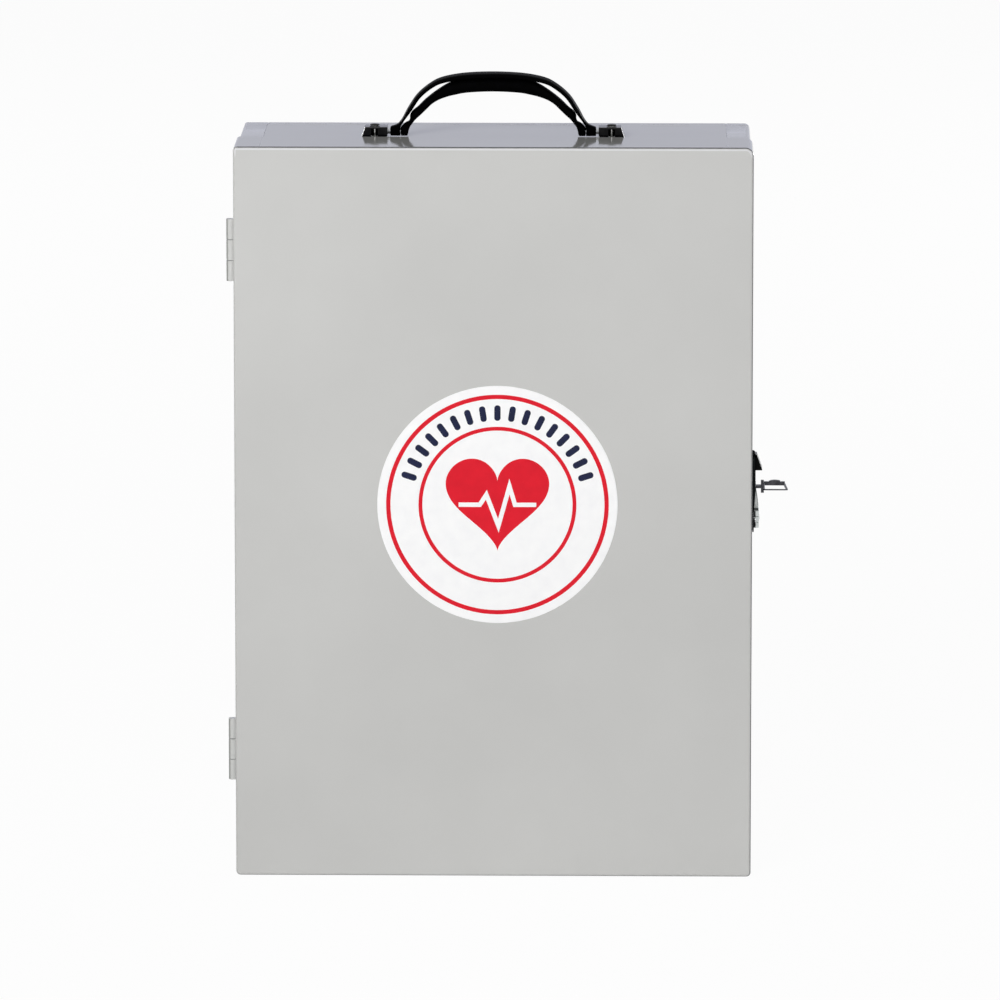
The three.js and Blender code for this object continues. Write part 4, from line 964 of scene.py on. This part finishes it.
def rivet(node, axis, shank, tail, head):
    """The profiles of a rivet's upset tail with its shank, and of its head, and its foot."""
    low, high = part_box(node)
    size = (high - low) / MM
    length = size.x if axis == "x" else size.z
    radius = size.z / 2 if axis == "x" else size.x / 2
    flange = RIVET_FLANGE * radius
    stem = [(RIVET_CORE, 0), (flange - TAIL_EDGE_BREAK, 0), (flange, TAIL_EDGE_BREAK)]
    stem += [(flange, tail), (shank, tail + SHANK_STEP), (shank, length - head)]
    middle = (low + high) / 2
    foot = (low.x, middle.y, middle.z) if axis == "x" else (middle.x, middle.y, low.z)
    return stem, dome(radius, length - head, head), foot


for side in SIDES:
    node = "handle_rivet_" + side
    stem, head, foot = rivet(node, axis="z", shank=1.5, tail=1.0, head=1.0)
    stem_mesh = mesh_of(node + "_shank", turned([*stem, (RIVET_CORE, stem[-1][1])], "z", foot))
    head_mesh = mesh_of(node + "_head", turned([(RIVET_CORE, head[0][1]), *head], "z", foot))
    piece(node + "_shank", stem_mesh, rivet_nickel, "case", node)
    piece(node + "_head", head_mesh, foot_enamel, "case", node)

for node, shank in (
    ("lock_rivet_upper", 1.2),
    ("lock_rivet_lower", 1.2),
    ("hasp_rivet_1", 1.1),
    ("hasp_rivet_2", 1.1),
):
    stem, head, foot = rivet(node, axis="x", shank=shank, tail=0.8, head=0.9)
    body = frame["nodes"][node]["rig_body"]
    mesh = mesh_of(node + "_turned", turned([*stem, *head], "x", foot))
    piece(node + "_turned", mesh, black_rivets, body, node)


# Stage

def seen_share(tree, share=1.0):
    """That share for rays from the camera or off or through something glossy, else nothing."""
    path = add(tree, "ShaderNodeLightPath")
    seen = path.outputs["Is Camera Ray"]
    for ray in ("Is Glossy Ray", "Is Transmission Ray"):
        either = {0: seen, 1: path.outputs[ray]}
        seen = add(tree, "ShaderNodeMath", links=either, operation="ADD").outputs[0]
    held = add(tree, "ShaderNodeMapRange", {"To Max": share}, {"Value": seen})
    return held.outputs["Result"]


def studio_white(name, colour, glow, share):
    """Matt painted board that the camera and reflections see brighter, as in a lit studio."""
    material, tree, shader = new_finish(
        name, Base_Color=linear(colour), Roughness=0.9, Specular_IOR_Level=0.1
    )
    light = add(tree, "ShaderNodeEmission", {"Color": linear(glow), "Strength": 1.0})
    mix = add(
        tree,
        "ShaderNodeMixShader",
        links={0: seen_share(tree, share), 1: shader.outputs[0], 2: light.outputs[0]},
    )
    tree.links.new(mix.outputs[0], tree.nodes["Material Output"].inputs["Surface"])
    return material


def board(name, corners, material):
    """A flat board of the studio through four corners."""
    mesh = bpy.data.meshes.new(name)
    mesh.from_pydata(corners, [], [(0, 1, 2, 3)])
    mesh.materials.append(material)
    in_scene(name, mesh)


def white_world():
    """A world that is plain white to the eye and lights the box only faintly."""
    world = bpy.data.worlds.new("studio")
    bpy.context.scene.world = world
    world.use_nodes = True
    sky = world.node_tree
    ambient = sky.nodes["Background"]
    ambient.inputs["Color"].default_value = linear("FFFFFF")
    ambient.inputs["Strength"].default_value = AMBIENT
    white = add(sky, "ShaderNodeBackground", {"Color": linear("FFFFFF"), "Strength": 1.0})
    whole = add(
        sky,
        "ShaderNodeMixShader",
        links={0: seen_share(sky), 1: ambient.outputs[0], 2: white.outputs[0]},
    )
    sky.links.new(whole.outputs[0], sky.nodes["World Output"].inputs["Surface"])


def softbox(name, place, target, size, watts, mirrored):
    """A square softbox that looks at a point. Only a mirrored one shows in reflections, because
    the glossy top would clip to white from where it mirrors a front one."""
    lamp = bpy.data.lights.new(name, "AREA")
    lamp.shape = "SQUARE"
    lamp.size = size
    lamp.energy = watts
    made = in_scene(name, lamp)
    made.location = place
    made.visible_glossy = mirrored
    towards = Vector(target) - Vector(place)
    made.rotation_euler = towards.to_track_quat("-Z", "Y").to_euler()


def long_camera():
    """A long lens 5 m away, a little to the right and above, looking down on the box."""
    data = bpy.data.cameras.new("camera")
    data.lens = CAMERA_LENS
    data.sensor_width = CAMERA_SENSOR
    data.clip_end = CAMERA_SEES_TO
    made = in_scene("camera", data)
    made.location = CAMERA_PLACE
    pitch, turn = math.radians(90 - CAMERA_LOOKS_DOWN), math.radians(CAMERA_LOOKS_LEFT)
    made.rotation_euler = (pitch, 0, turn)
    return made


board(
    "floor",
    [(x * FLOOR_REACH, y * FLOOR_REACH, 0) for x, y in ((-1, -1), (1, -1), (1, 1), (-1, 1))],
    studio_white("white_studio_floor", colour="F7F7F7", glow="FFFFFF", share=0.96),
)
board(
    "backdrop",
    [
        (x * BACKDROP_REACH, BACKDROP_Y, z * BACKDROP_HEIGHT)
        for x, z in ((-1, 0), (1, 0), (1, 1), (-1, 1))
    ],
    studio_white("pale_blue_grey_backdrop", colour="C8CAD4", glow="DADCEA", share=0.95),
)
white_world()
for lamp in SOFTBOXES:
    softbox(*lamp)
bpy.context.scene.camera = long_camera()

bpy.context.scene.view_settings.view_transform = "Standard"
